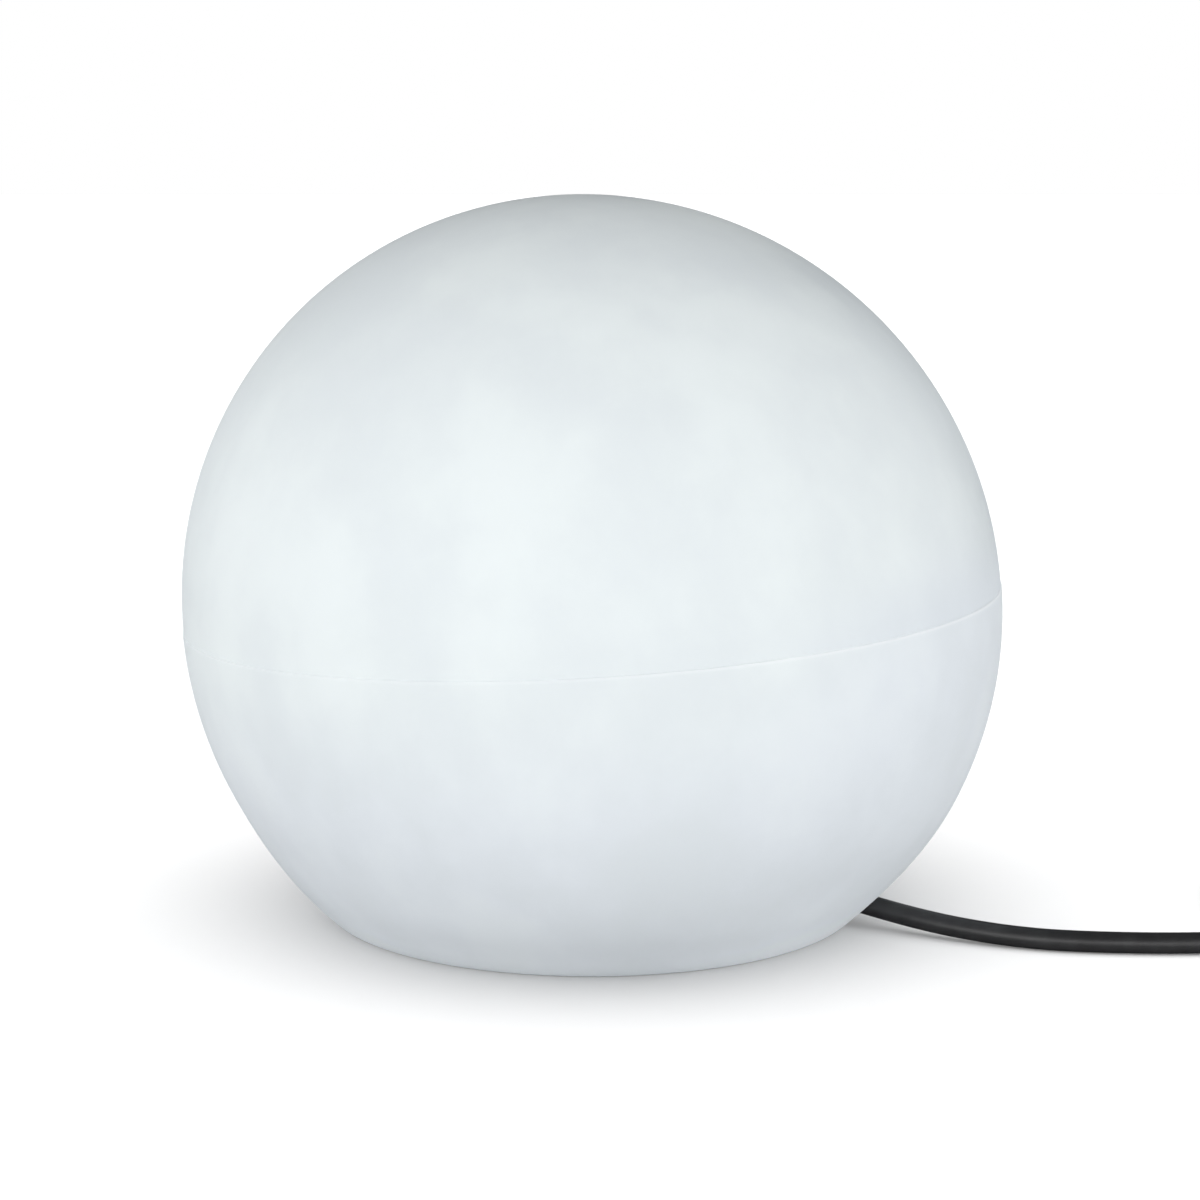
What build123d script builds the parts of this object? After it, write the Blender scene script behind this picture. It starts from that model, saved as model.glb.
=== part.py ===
"""Garden globe light: a moulded white globe over a lamp base, with a mains lead.

Millimetres, +Z up. The origin is the centre of the globe's floor ring, on the floor.
The lamp base, its cable gland and the notch in the globe share one direction: they are
modelled with the cable leaving along +X and turned together by EXIT_AZIMUTH.
"""
from build123d import *

import os
from math import asin, ceil, cos, floor, pi, radians, sin, sqrt, tan

# --- globe ---------------------------------------------------------------------------
GLOBE_RADIUS = 150.0
FLOOR_CIRCLE_RADIUS = 97.49       # where the sphere is cut flat by the floor
GLOBE_WALL = 3.5
RIM_ROUND = 4.0                   # round between the sphere and the floor ring
SEAM_STEP = 0.35                  # the lower half of the mould stands this much proud
SEAM_RISE = 1.0                   # parting line above the sphere's centre, on the axis
SEAM_TILT = 3.3                   # degrees, higher on the +X side
RECESS_RADIUS = 82.0              # hollow under the globe that takes the lamp base
RECESS_DEPTH = 36.0
LAMP_OPENING_RADIUS = 52.0        # hole in the hollow's roof that the lamp passes
NOTCH_WIDTH = 13.5                # tunnel in the rim for the cable, open at the floor
NOTCH_HEIGHT = 18.5
INSERT_HEX = 8.0                  # brass inserts across flats, in bosses on the roof
INSERT_LENGTH = 9.0
INSERT_BOSS_WALL = 3.0
INNER_SKIN_BANDS = 15             # the unseen inner skin is drawn with flat facets
INNER_SKIN_SIDES = 36

# --- fits ----------------------------------------------------------------------------
PLATE_CLEARANCE = 0.5             # lamp base in the globe's hollow, radial
RUNNING_FIT = 0.05                # screw in its thread, radial
ASSEMBLY_FIT = 0.2                # hand-assembled pieces, radial
GRIP_CLEARANCE = 0.1              # rubber and clamps on the cable, radial
CONTACT_GAP = 0.3                 # lamp's centre contact above its spring

# --- lamp base -----------------------------------------------------------------------
EXIT_AZIMUTH = -17.0              # degrees from +X, where the cable leaves
GASKET_THICKNESS = 1.0
GASKET_WIDTH = 27.0
PLATE_THICKNESS = 3.0
SKIRT_WIDTH = 3.0                 # rim of the base plate, which the legs run into
SKIRT_DEPTH = 9.0
RIB_THICKNESS = 2.0
RIB_DEPTH = 6.0
RIB_AZIMUTHS = (20.0, 70.0, 110.0, 160.0, 200.0, 250.0, 290.0, 340.0)
LEG_RADIUS = 9.0
LEG_RIM_OVERLAP = 0.5             # how far the legs run into the plate's rim
LEG_COUNT = 4
SCREW_RADIUS = 2.0                # M4 screws that hold the globe
SCREW_LENGTH = 14.0
SCREW_HEAD_HEX = 7.0
SCREW_HEAD_HEIGHT = 2.8
SCREW_HOLE_CLEARANCE = 0.25
SCREW_SEAT_THICKNESS = 5.0        # base plate and pad between screw head and gasket
FOOT_HEIGHT = 5.0
LEG_BORE_RADIUS = 5.4             # room for the socket that turns the screw

# --- junction chamber under the plate --------------------------------------------------
CHAMBER_FRONT = 40.0              # outer faces along the cable's direction
CHAMBER_BACK = -38.0
CHAMBER_WIDTH = 52.0
CHAMBER_WALL = 2.5
CHAMBER_CORNER = 5.0
CHAMBER_BOTTOM = 5.2              # height of the walls' lower edge above the floor
COVER_THICKNESS = 2.6
COVER_GASKET_THICKNESS = 0.8
COVER_GASKET_WIDTH = 1.9
SMALL_SCREW_RADIUS = 1.4          # 2.9 mm self-tapping screws
FASTENER_SIDES = 8                # small fasteners and their holes are many-sided
WIRE_SIDES = 6
SMALL_HEAD_RADIUS = 2.6
SMALL_HEAD_HEIGHT = 1.6
COVER_SCREW_LENGTH = 10.0
POST_WIDTH = 6.8
POST_INSET = 5.6                  # posts in from the chamber's outer faces, fused to its walls
SCREW_HOLE_MARGIN = 1.0           # plastic left beyond a screw's tip
COVER_BEVEL = 0.8

# --- cable and gland -------------------------------------------------------------------
CABLE_RADIUS = 3.8
CABLE_AXIS_Z = 15.5               # where the cable passes the chamber's wall
JACKET_END = 20.0                 # where the rubber jacket is cut back inside
GLAND_THREAD_RADIUS = 8.0
GLAND_HEX = 19.0                  # across flats
GLAND_FLANGE_LENGTH = 6.0
GLAND_SLEEVE_RADIUS = 7.0
GLAND_SLEEVE_LENGTH = 8.0
GLAND_NOSE_LENGTH = 12.0
GLAND_NOSE_RADIUS = 6.6
GLAND_BORE_RADIUS = 5.4
GLAND_MOUTH_BEVEL = 1.2
LOCKNUT_THICKNESS = 4.5
SEAL_LENGTH = 10.0
CLAMP_CENTRE = 27.5               # cable clamp, along the cable's direction
CLAMP_LENGTH = 8.0
CLAMP_WIDTH = 25.0
CLAMP_BAR_THICKNESS = 5.0
CLAMP_GAP = 4.0
CLAMP_SCREW_SPACING = 17.0
CLAMP_SCREW_LENGTH = 17.0
CLAMP_BEVEL = 1.5
LOCKNUT_THREAD_SHOW = 1.0         # shank past the locknut

# --- terminal block ----------------------------------------------------------------------
BLOCK_CENTRE = -6.0
BLOCK_LENGTH = 20.0
BLOCK_HEIGHT = 14.0
BLOCK_FOOT_HEIGHT = 3.5
BLOCK_BORE_SHARE = 0.45           # the poles' axes, as a share of the block's height from below
POLE_PITCH = 9.0
POLE_WIDTH = 8.0
SLEEVE_RADIUS = 2.5
SLEEVE_WALL = 0.8
SLEEVE_LENGTH = 17.0
TERMINAL_SCREW_SPACING = 10.0
TERMINAL_SCREW_RADIUS = 1.5
CORE_RADIUS = 1.35                # insulated cores of the cable
LAMP_WIRE_RADIUS = 1.2
WIRE_RISE_X = -21.0               # where the lamp wires turn up through the plate
WIRE_BEND = 3.0                   # radius of the wires' bends
CORE_LEAD_IN = 4.5                # straight stretches at a core's two ends
WIRE_CROSSING = 10.0              # lamp wires, inwards from the plate's hole to the contacts
WIRE_SLACK_RISE = 7.0             # where they lean inwards, above the plate

# --- lampholder (screw base 27 mm) -----------------------------------------------------------
HOLDER_FLANGE_RADIUS = 31.0
HOLDER_FLANGE_THICKNESS = 3.0
HOLDER_SHOULDER_RADIUS = 24.0
HOLDER_BASE_HEIGHT = 17.0
HOLDER_WALL = 2.5
INSULATOR_DISC_HEIGHT = 8.0
COLLAR_RADIUS = 20.0
COLLAR_WALL = 3.2
COLLAR_HEIGHT = 24.0
COLLAR_FLUTES = 12
COLLAR_FLUTE_RADIUS = 1.2
COLLAR_FLUTE_MARGIN = 4.0         # plain band above and below the flutes
COLLAR_BEVEL = 1.0
SHELL_BORE_RADIUS = 13.3
SHELL_WALL = 0.5
SHELL_HEIGHT = 20.0
SPRING_THICKNESS = 0.5
SPRING_WIDTH = 5.0
SPRING_RISE = 3.0
SPRING_FOOT = (-10.0, -6.0)       # flat foot of the strip, across the disc
SPRING_TIP = (-2.0, 3.0)          # raised flat under the bulb's contact
SPRING_SLOPE_SHIFT = 0.2          # the slope's upper side, so that it keeps its thickness
HOLDER_SCREW_OFFSET = 18.4
HOLDER_SCREW_LENGTH = 9.0

# --- bulb ------------------------------------------------------------------------------------
CAP_RADIUS = 13.0
CAP_HEIGHT = 20.0
CAP_WALL = 0.4
BUTTON_RADIUS = 4.6
BUTTON_HEIGHT = 1.5
BUTTON_BEVEL = 0.9
INSULATOR_HEIGHT = 3.4
INSULATOR_RADIUS = 9.6
INSULATOR_LEDGE = 0.6             # flat round the button
CAP_FLOOR = 2.0                   # height of the cap's closed, tapered end
HOUSING_PLUG = 16.0               # length of the housing inside the cap
HOUSING_BRIM = 8.0                # steep band under the diffuser
HOUSING_BRIM_STEP = 2.0
HOUSING_THROAT = 4.0              # inside cone starts this far above the cap
HOUSING_NECK_RADIUS = 14.6
HOUSING_TOP_RADIUS = 28.0
HOUSING_HEIGHT = 32.0
HOUSING_WALL = 2.0
BULB_RADIUS = 30.0
DIFFUSER_WALL = 1.5
DIFFUSER_HEIGHT = 49.0
DIFFUSER_BANDS = 11
BOARD_THICKNESS = 1.6
LED_COUNT = 12
LED_SIZE = 3.0
LED_HEIGHT = 0.8
LED_CIRCLE_RADIUS = 17.0
DRIVER_WIDTH = 18.0
DRIVER_THICKNESS = 1.6
DRIVER_REACH = 40.0               # driver board, down from the LED board into the cap
CAPACITOR_RADIUS = 3.2
CAPACITOR_HEIGHT = 14.0
CHOKE_SIZE = (10.0, 7.0, 8.0)
SOLDERED_DEPTH = 0.1              # how far the capacitor's side runs into the board
DRIVER_TOP_MARGIN = 6.0           # capacitor and choke, below the LED board

# --- mains lead, coil and plug ------------------------------------------------------------------
HELD_ROUTE_START = 48.0           # inside the gland, along the cable's direction
EXIT_BEND_START = 69.0
RIM_PASS_RADIUS = 100.0
RIM_PASS_Z = 8.3
FLOOR_ROUTE = (                   # free points, as the lead lies on the floor
    (124.0, -49.0, 5.0),
    (152.0, -62.5, 3.8),
    (178.0, -68.2, 3.8),
    (214.0, -69.8, 3.8),
    (260.0, -66.0, 4.7),
)
COIL_CENTRE_X = 302.0
COIL_INNER_RADIUS = 27.3          # centre line, at the turning point
TURN_PITCH = 8.1
INWARD_TURNS = 4.5
CLIMB_TURNS = 0.5                 # the half turn that climbs to the second layer
OUTWARD_TURNS = 4.25
COIL_SIDES = 6
LEAD_SIDES = 12
TIE_THICKNESS = 0.8
TIE_WIDTH = 9.0
TIE_CLEARANCE = 0.1
TIE_AZIMUTHS = (75.0, 195.0)
TAIL_LENGTH = 18.0
RELIEF_LENGTH = 32.0
RELIEF_TIP_RADIUS = 4.6
RELIEF_ROOT_RADIUS = 7.4
RELIEF_SLOTS = 5
RELIEF_SLOT_WIDTH = 2.0
RELIEF_SLOT_DEPTH_SHARE = 0.9     # slots stop this share of the cable's radius from its axis
PLUG_LENGTH = 38.0
PLUG_WIDTH = 35.0
PLUG_SECTIONS = (                 # shares of its length, width and height, from the cable
    (0.0, 0.54, 0.72),
    (0.2, 0.78, 0.86),
    (0.42, 0.93, 0.98),
    (0.64, 1.0, 1.0),
    (1.0, 1.0, 1.0),
)
PLUG_CORNER_SHARE = 0.26          # cut corners, as a share of its height
PLUG_FLOOR_GAP = 0.1
PIN_RADIUS = 2.4
PIN_LENGTH = 19.0
PIN_SPACING = 19.0
PIN_ROOT_LENGTH = 8.0

# --- worked out from the above ---------------------------------------------------------------------
GLOBE_CENTRE_Z = sqrt(GLOBE_RADIUS ** 2 - FLOOR_CIRCLE_RADIUS ** 2)
PLATE_RADIUS = RECESS_RADIUS - PLATE_CLEARANCE
LEG_CIRCLE_RADIUS = PLATE_RADIUS - SKIRT_WIDTH - LEG_RADIUS + LEG_RIM_OVERLAP
PLATE_TOP = RECESS_DEPTH - GASKET_THICKNESS
PLATE_BOTTOM = PLATE_TOP - PLATE_THICKNESS
SCREW_SEAT_Z = PLATE_TOP - SCREW_SEAT_THICKNESS
GASKET_INNER_RADIUS = PLATE_RADIUS - GASKET_WIDTH
COVER_TOP = CHAMBER_BOTTOM - COVER_GASKET_THICKNESS
COVER_BOTTOM = COVER_TOP - COVER_THICKNESS
CHAMBER_LENGTH = CHAMBER_FRONT - CHAMBER_BACK
CHAMBER_MIDDLE = (CHAMBER_FRONT + CHAMBER_BACK) / 2
SLEEVE_END = CHAMBER_FRONT + GLAND_FLANGE_LENGTH + GLAND_SLEEVE_LENGTH
GLAND_FACE = SLEEVE_END + GLAND_NOSE_LENGTH
BLOCK_TOP = PLATE_BOTTOM
BLOCK_BOTTOM = BLOCK_TOP - BLOCK_HEIGHT
WIRE_Z = BLOCK_BOTTOM + BLOCK_BORE_SHARE * BLOCK_HEIGHT
HOLDER_TOP = PLATE_TOP + HOLDER_BASE_HEIGHT
DISC_BOTTOM = HOLDER_TOP - HOLDER_WALL
DISC_TOP = DISC_BOTTOM + INSULATOR_DISC_HEIGHT
BUTTON_Z = DISC_TOP + SPRING_RISE + CONTACT_GAP
CAP_BOTTOM = BUTTON_Z + BUTTON_HEIGHT + INSULATOR_HEIGHT
CAP_TOP = CAP_BOTTOM + CAP_HEIGHT
HOUSING_TOP = CAP_TOP + HOUSING_HEIGHT
LAYER_ONE_Z = CABLE_RADIUS + TIE_THICKNESS + TIE_CLEARANCE
LAYER_TWO_Z = LAYER_ONE_Z + TURN_PITCH
TURNING_POINT = INWARD_TURNS + CLIMB_TURNS / 2
COIL_OUTER_RADIUS = COIL_INNER_RADIUS + TURNING_POINT * TURN_PITCH
COIL_CENTRE_Y = FLOOR_ROUTE[-1][1] + COIL_OUTER_RADIUS


def ring(outer, inner, bottom, top):
    """A flat-ended tube on the Z axis."""
    height = top - bottom
    middle = (top + bottom) / 2
    return Pos(0, 0, middle) * (Cylinder(outer, height) - Cylinder(inner, height))


def rod(radius, bottom, top, x=0.0, y=0.0):
    """A round bar that stands along Z."""
    return Pos(x, y, (top + bottom) / 2) * Cylinder(radius, top - bottom)


def small_bar(radius, bottom, top, x=0.0, y=0.0):
    """A standing bar for small fasteners and their holes, with FASTENER_SIDES sides."""
    outline = Pos(x, y, bottom) * RegularPolygon(radius, FASTENER_SIDES)
    return extrude(outline, top - bottom)


def standing_hexagon(across_flats, bottom, top):
    """A hexagonal bar on the Z axis."""
    outline = Pos(0, 0, bottom) * RegularPolygon(across_flats / 2, 6, major_radius=False)
    return extrude(outline, top - bottom)


def bar_along_x(radius, start, end, y=0.0, z=0.0):
    """A round bar that lies along X."""
    return Pos((start + end) / 2, y, z) * Rot(0, 90, 0) * Cylinder(radius, end - start)


def block(x_range, y_range, z_range):
    """A box between two corners."""
    size = [high - low for low, high in (x_range, y_range, z_range)]
    middle = [(high + low) / 2 for low, high in (x_range, y_range, z_range)]
    return Pos(*middle) * Box(*size)


def turned(shape):
    """Turn a piece of the lamp base from +X to the direction the cable leaves in."""
    return Rot(0, 0, EXIT_AZIMUTH) * shape


def revolved(points):
    """A round body from its half outline, given as (radius, height) points."""
    outline = make_face(Polyline(*[(r, 0, z) for r, z in points], close=True))
    return revolve(outline, Axis.Z, 360)


def dome_outline(radius, centre_z, bottom, bands):
    """Half outline of a ball from a level up to its top, in straight bands."""
    start = asin((bottom - centre_z) / radius)
    angles = [start + (pi / 2 - start) * step / bands for step in range(bands)]
    return [(radius * cos(a), centre_z + radius * sin(a)) for a in angles] + [(0, centre_z + radius)]


def faceted_ball(radius, centre_z, bottom):
    """A ball cut flat at a level, drawn with flat facets: the globe's air space."""
    start = asin((bottom - centre_z) / radius)
    step = (pi / 2 - start) / (INNER_SKIN_BANDS + 0.5)
    rings = []
    for band in range(INNER_SKIN_BANDS + 1):
        angle = start + step * band
        points = [Vector(radius * cos(angle)).rotate(Axis.Z, 360 * side / INNER_SKIN_SIDES)
                  for side in range(INNER_SKIN_SIDES)]
        rings.append([point + Vector(0, 0, centre_z + radius * sin(angle)) for point in points])
    outlines = [rings[0], rings[-1]]
    for low, high in zip(rings, rings[1:]):
        outlines += [[low[side - 1], low[side], high[side], high[side - 1]] for side in range(INNER_SKIN_SIDES)]
    return Solid(Shell([Face(Wire.make_polygon(outline)) for outline in outlines]))


def leg_places():
    """Where the four legs and their screws stand."""
    return PolarLocations(LEG_CIRCLE_RADIUS, LEG_COUNT, start_angle=45)


def rounded_rectangle(length, width, corner, thickness, bottom):
    """A plate with rounded corners, over the chamber's middle."""
    outline = Pos(CHAMBER_MIDDLE, 0, bottom) * RectangleRounded(length, width, corner)
    return extrude(outline, thickness)


# --- globe -----------------------------------------------------------------------------
def notch_tunnel(extra):
    """The cable's tunnel through the rim: straight sides and a round top."""
    half = NOTCH_WIDTH / 2 + extra
    centre_z = NOTCH_HEIGHT - NOTCH_WIDTH / 2
    inner, outer = RECESS_RADIUS - GLOBE_WALL, GLOBE_RADIUS
    straight = block((inner, outer), (-half, half), (-1.0, centre_z))
    return turned(straight + bar_along_x(half, inner, outer, 0, centre_z))


def globe_outside():
    """The sphere in its two mould halves, cut flat at the floor."""
    reach = 3 * GLOBE_RADIUS
    seam = Pos(0, 0, GLOBE_CENTRE_Z + SEAM_RISE) * Rot(0, -SEAM_TILT, 0)
    below = seam * Pos(0, 0, -reach / 2) * Box(reach, reach, reach)
    centre = Pos(0, 0, GLOBE_CENTRE_Z)
    lower = (centre * Sphere(GLOBE_RADIUS)) & below
    upper = (centre * Sphere(GLOBE_RADIUS - SEAM_STEP)) - below
    body = (lower + upper) - Pos(0, 0, -reach / 2) * Box(reach, reach, reach)
    rim = body.faces().sort_by(Axis.Z)[0].edges()
    return fillet(rim, RIM_ROUND)


def globe_inside():
    """The air space that the wall encloses, round the hollow, tunnel and bosses."""
    ball = faceted_ball(GLOBE_RADIUS - GLOBE_WALL, GLOBE_CENTRE_Z, GLOBE_WALL)
    roof = RECESS_DEPTH + GLOBE_WALL
    ball -= rod(RECESS_RADIUS + GLOBE_WALL, 0, roof)
    ball -= notch_tunnel(GLOBE_WALL)
    boss_top = RECESS_DEPTH + INSERT_LENGTH + INSERT_BOSS_WALL
    boss = standing_hexagon(INSERT_HEX + 2 * INSERT_BOSS_WALL, RECESS_DEPTH, boss_top)
    return ball - [turned(place * boss) for place in leg_places()]


def globe_shell():
    """One rotationally moulded wall: globe, floor ring, hollow, tunnel and bosses."""
    shell = globe_outside() - globe_inside()
    shell -= rod(RECESS_RADIUS, -1, RECESS_DEPTH)
    shell -= notch_tunnel(0)
    shell -= rod(LAMP_OPENING_RADIUS, 0, RECESS_DEPTH + 2 * GLOBE_WALL)
    pocket = standing_hexagon(INSERT_HEX + 2 * RUNNING_FIT, 0, RECESS_DEPTH + INSERT_LENGTH)
    return shell - [turned(place * pocket) for place in leg_places()]


def threaded_insert():
    """A hexagonal brass insert, moulded into its boss."""
    bore = small_bar(SCREW_RADIUS + RUNNING_FIT, RECESS_DEPTH, RECESS_DEPTH + INSERT_LENGTH)
    return standing_hexagon(INSERT_HEX, RECESS_DEPTH, RECESS_DEPTH + INSERT_LENGTH) - bore


# --- lamp base ----------------------------------------------------------------------------
def cover_screw_places():
    """Where the four cover screws stand, near the chamber's corners."""
    xs = (CHAMBER_BACK + POST_INSET, CHAMBER_FRONT - POST_INSET)
    ys = (POST_INSET - CHAMBER_WIDTH / 2, CHAMBER_WIDTH / 2 - POST_INSET)
    return [(x, y) for x in xs for y in ys]


def clamp_screw_places():
    """Where the two cable clamp screws stand."""
    half = CLAMP_SCREW_SPACING / 2
    return [(CLAMP_CENTRE, -half), (CLAMP_CENTRE, half)]


def holder_screw_places():
    """Where the two lampholder screws stand."""
    return [(HOLDER_SCREW_OFFSET, HOLDER_SCREW_OFFSET), (-HOLDER_SCREW_OFFSET, -HOLDER_SCREW_OFFSET)]


def small_bars(places, radius, bottom, top):
    """A small bar at each place."""
    return [small_bar(radius, bottom, top, x, y) for x, y in places]


def square_posts(places, bottom, top):
    """A square post at each place."""
    half = POST_WIDTH / 2
    return [block((x - half, x + half), (y - half, y + half), (bottom, top)) for x, y in places]


def lamp_wire_places():
    """The two lamp wires, side by side across the plate."""
    return [-POLE_PITCH / 2, POLE_PITCH / 2]


def base_plate():
    """Moulded plate with rim, ribs, tubular legs, junction chamber and clamp seat."""
    plate = rod(PLATE_RADIUS, PLATE_BOTTOM, PLATE_TOP)
    plate += ring(PLATE_RADIUS, PLATE_RADIUS - SKIRT_WIDTH, PLATE_TOP - SKIRT_DEPTH, PLATE_TOP)
    rib_range = (PLATE_BOTTOM - RIB_DEPTH, PLATE_TOP)
    rib = block((CHAMBER_WALL, PLATE_RADIUS - SKIRT_WIDTH / 2), (-RIB_THICKNESS / 2, RIB_THICKNESS / 2), rib_range)
    plate += [Rot(0, 0, azimuth) * rib for azimuth in RIB_AZIMUTHS]
    leg = rod(LEG_RADIUS, FOOT_HEIGHT, PLATE_TOP)
    plate += [place * leg for place in leg_places()]
    height = PLATE_TOP - CHAMBER_BOTTOM
    plate += rounded_rectangle(CHAMBER_LENGTH, CHAMBER_WIDTH, CHAMBER_CORNER, height, CHAMBER_BOTTOM)
    inner_length = CHAMBER_LENGTH - 2 * CHAMBER_WALL
    inner_width = CHAMBER_WIDTH - 2 * CHAMBER_WALL
    inner_corner = CHAMBER_CORNER - CHAMBER_WALL
    inner_height = PLATE_BOTTOM - CHAMBER_BOTTOM
    plate -= rounded_rectangle(inner_length, inner_width, inner_corner, inner_height, CHAMBER_BOTTOM)

    plate += square_posts(cover_screw_places(), CHAMBER_BOTTOM, PLATE_BOTTOM)
    seat_bottom = CABLE_AXIS_Z + CLAMP_GAP / 2
    clamp_x = (CLAMP_CENTRE - CLAMP_LENGTH / 2, CLAMP_CENTRE + CLAMP_LENGTH / 2)
    plate += block(clamp_x, (-CLAMP_WIDTH / 2, CLAMP_WIDTH / 2), (seat_bottom, PLATE_BOTTOM))
    boss_bottom = PLATE_TOP - HOLDER_SCREW_LENGTH - SCREW_HOLE_MARGIN
    plate += square_posts(holder_screw_places(), boss_bottom, PLATE_TOP)

    grip = CABLE_RADIUS + GRIP_CLEARANCE
    plate -= bar_along_x(grip, JACKET_END, CHAMBER_FRONT - CHAMBER_WALL, 0, CABLE_AXIS_Z)
    gland_hole = GLAND_THREAD_RADIUS + ASSEMBLY_FIT
    plate -= bar_along_x(gland_hole, CHAMBER_FRONT - CHAMBER_WALL, CHAMBER_FRONT, 0, CABLE_AXIS_Z)
    small = SMALL_SCREW_RADIUS + RUNNING_FIT
    cover_seat = COVER_BOTTOM + SMALL_HEAD_HEIGHT
    plate -= small_bars(cover_screw_places(), small, CHAMBER_BOTTOM, cover_seat + COVER_SCREW_LENGTH)
    clamp_head = CABLE_AXIS_Z - CLAMP_GAP / 2 - CLAMP_BAR_THICKNESS
    plate -= small_bars(clamp_screw_places(), small, clamp_head, clamp_head + CLAMP_SCREW_LENGTH)
    holder_seat = PLATE_TOP + HOLDER_FLANGE_THICKNESS
    plate -= small_bars(holder_screw_places(), small, holder_seat - HOLDER_SCREW_LENGTH, holder_seat)
    plate -= small_bar(small, BLOCK_BOTTOM, BLOCK_TOP + PLATE_THICKNESS / 2, BLOCK_CENTRE)
    wire_hole = LAMP_WIRE_RADIUS + 3 * ASSEMBLY_FIT
    for y in lamp_wire_places():
        plate -= small_bar(wire_hole, PLATE_BOTTOM, PLATE_TOP, WIRE_RISE_X, y)

    well = small_bar(LEG_BORE_RADIUS, FOOT_HEIGHT, SCREW_SEAT_Z)
    well += small_bar(SCREW_RADIUS + SCREW_HOLE_CLEARANCE, SCREW_SEAT_Z, PLATE_TOP)
    plate -= [place * well for place in leg_places()]
    return plate


def rubber_foot():
    """A rubber ring bonded under the leg; the screw passes through it."""
    return rod(LEG_RADIUS, 0, FOOT_HEIGHT) - small_bar(LEG_BORE_RADIUS, 0, FOOT_HEIGHT)


def base_gasket():
    """Flat rubber ring between the base plate and the hollow's roof."""
    gasket = ring(PLATE_RADIUS, GASKET_INNER_RADIUS, PLATE_TOP, RECESS_DEPTH)
    hole = standing_hexagon(INSERT_HEX, PLATE_TOP, RECESS_DEPTH)
    return gasket - [place * hole for place in leg_places()]


def globe_screw():
    """Hexagon-head machine screw, head down, that holds the globe."""
    head = standing_hexagon(SCREW_HEAD_HEX, SCREW_SEAT_Z - SCREW_HEAD_HEIGHT, SCREW_SEAT_Z)
    return head + small_bar(SCREW_RADIUS, SCREW_SEAT_Z, SCREW_SEAT_Z + SCREW_LENGTH)


def small_screw(length):
    """Self-tapping screw, head down, whose head seats at z = 0."""
    head = small_bar(SMALL_HEAD_RADIUS, -SMALL_HEAD_HEIGHT, 0)
    return head + small_bar(SMALL_SCREW_RADIUS, 0, length)


# --- junction chamber -------------------------------------------------------------------------
def junction_cover():
    """Plate that closes the chamber from below, with sunk screw heads."""
    cover = rounded_rectangle(CHAMBER_LENGTH, CHAMBER_WIDTH, CHAMBER_CORNER, COVER_THICKNESS, COVER_BOTTOM)
    cover = chamfer(cover.edges().group_by(Axis.Z)[0], COVER_BEVEL)
    places = cover_screw_places()
    sink = SMALL_HEAD_RADIUS + ASSEMBLY_FIT
    cover -= small_bars(places, sink, COVER_BOTTOM, COVER_BOTTOM + SMALL_HEAD_HEIGHT)
    return cover - small_bars(places, SMALL_SCREW_RADIUS + ASSEMBLY_FIT, COVER_BOTTOM, COVER_TOP)


def cover_gasket():
    """Rubber frame between the cover and the chamber's walls."""
    outer = rounded_rectangle(CHAMBER_LENGTH, CHAMBER_WIDTH, CHAMBER_CORNER, COVER_GASKET_THICKNESS, COVER_TOP)
    inner_length = CHAMBER_LENGTH - 2 * COVER_GASKET_WIDTH
    inner_width = CHAMBER_WIDTH - 2 * COVER_GASKET_WIDTH
    inner_corner = CHAMBER_CORNER - COVER_GASKET_WIDTH
    return outer - rounded_rectangle(inner_length, inner_width, inner_corner, COVER_GASKET_THICKNESS, COVER_TOP)


def cover_screws():
    """Four screws, up through the cover into the chamber's posts."""
    seat = COVER_BOTTOM + SMALL_HEAD_HEIGHT
    return [Pos(x, y, seat) * small_screw(COVER_SCREW_LENGTH) for x, y in cover_screw_places()]


def cord_clamp():
    """Bar under the cable, drawn up against the clamp seat by two screws."""
    top = CABLE_AXIS_Z - CLAMP_GAP / 2
    clamp_x = (CLAMP_CENTRE - CLAMP_LENGTH / 2, CLAMP_CENTRE + CLAMP_LENGTH / 2)
    bar = block(clamp_x, (-CLAMP_WIDTH / 2, CLAMP_WIDTH / 2), (top - CLAMP_BAR_THICKNESS, top))
    bar = chamfer(bar.edges().filter_by(Axis.Z), CLAMP_BEVEL)
    bar -= bar_along_x(CABLE_RADIUS + GRIP_CLEARANCE, clamp_x[0], clamp_x[1], 0, CABLE_AXIS_Z)
    return bar - small_bars(clamp_screw_places(), SMALL_SCREW_RADIUS + ASSEMBLY_FIT, 0, CABLE_AXIS_Z)


def clamp_screws():
    """Two screws, up through the clamp bar into its seat."""
    seat = CABLE_AXIS_Z - CLAMP_GAP / 2 - CLAMP_BAR_THICKNESS
    return [Pos(x, y, seat) * small_screw(CLAMP_SCREW_LENGTH) for x, y in clamp_screw_places()]


def terminal_screw_places():
    """The two clamping screws of each pole."""
    half = TERMINAL_SCREW_SPACING / 2
    return [(x, y) for x in (BLOCK_CENTRE - half, BLOCK_CENTRE + half) for y in lamp_wire_places()]


def sleeve_bars(radius, length):
    """A lying many-sided bar along each pole."""
    start = Plane(origin=(BLOCK_CENTRE - length / 2, 0, WIRE_Z), x_dir=(0, 1, 0), z_dir=(1, 0, 0))
    outline = RegularPolygon(radius, FASTENER_SIDES, major_radius=False)
    return [extrude(start * Pos(y, 0) * outline, length) for y in lamp_wire_places()]


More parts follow.
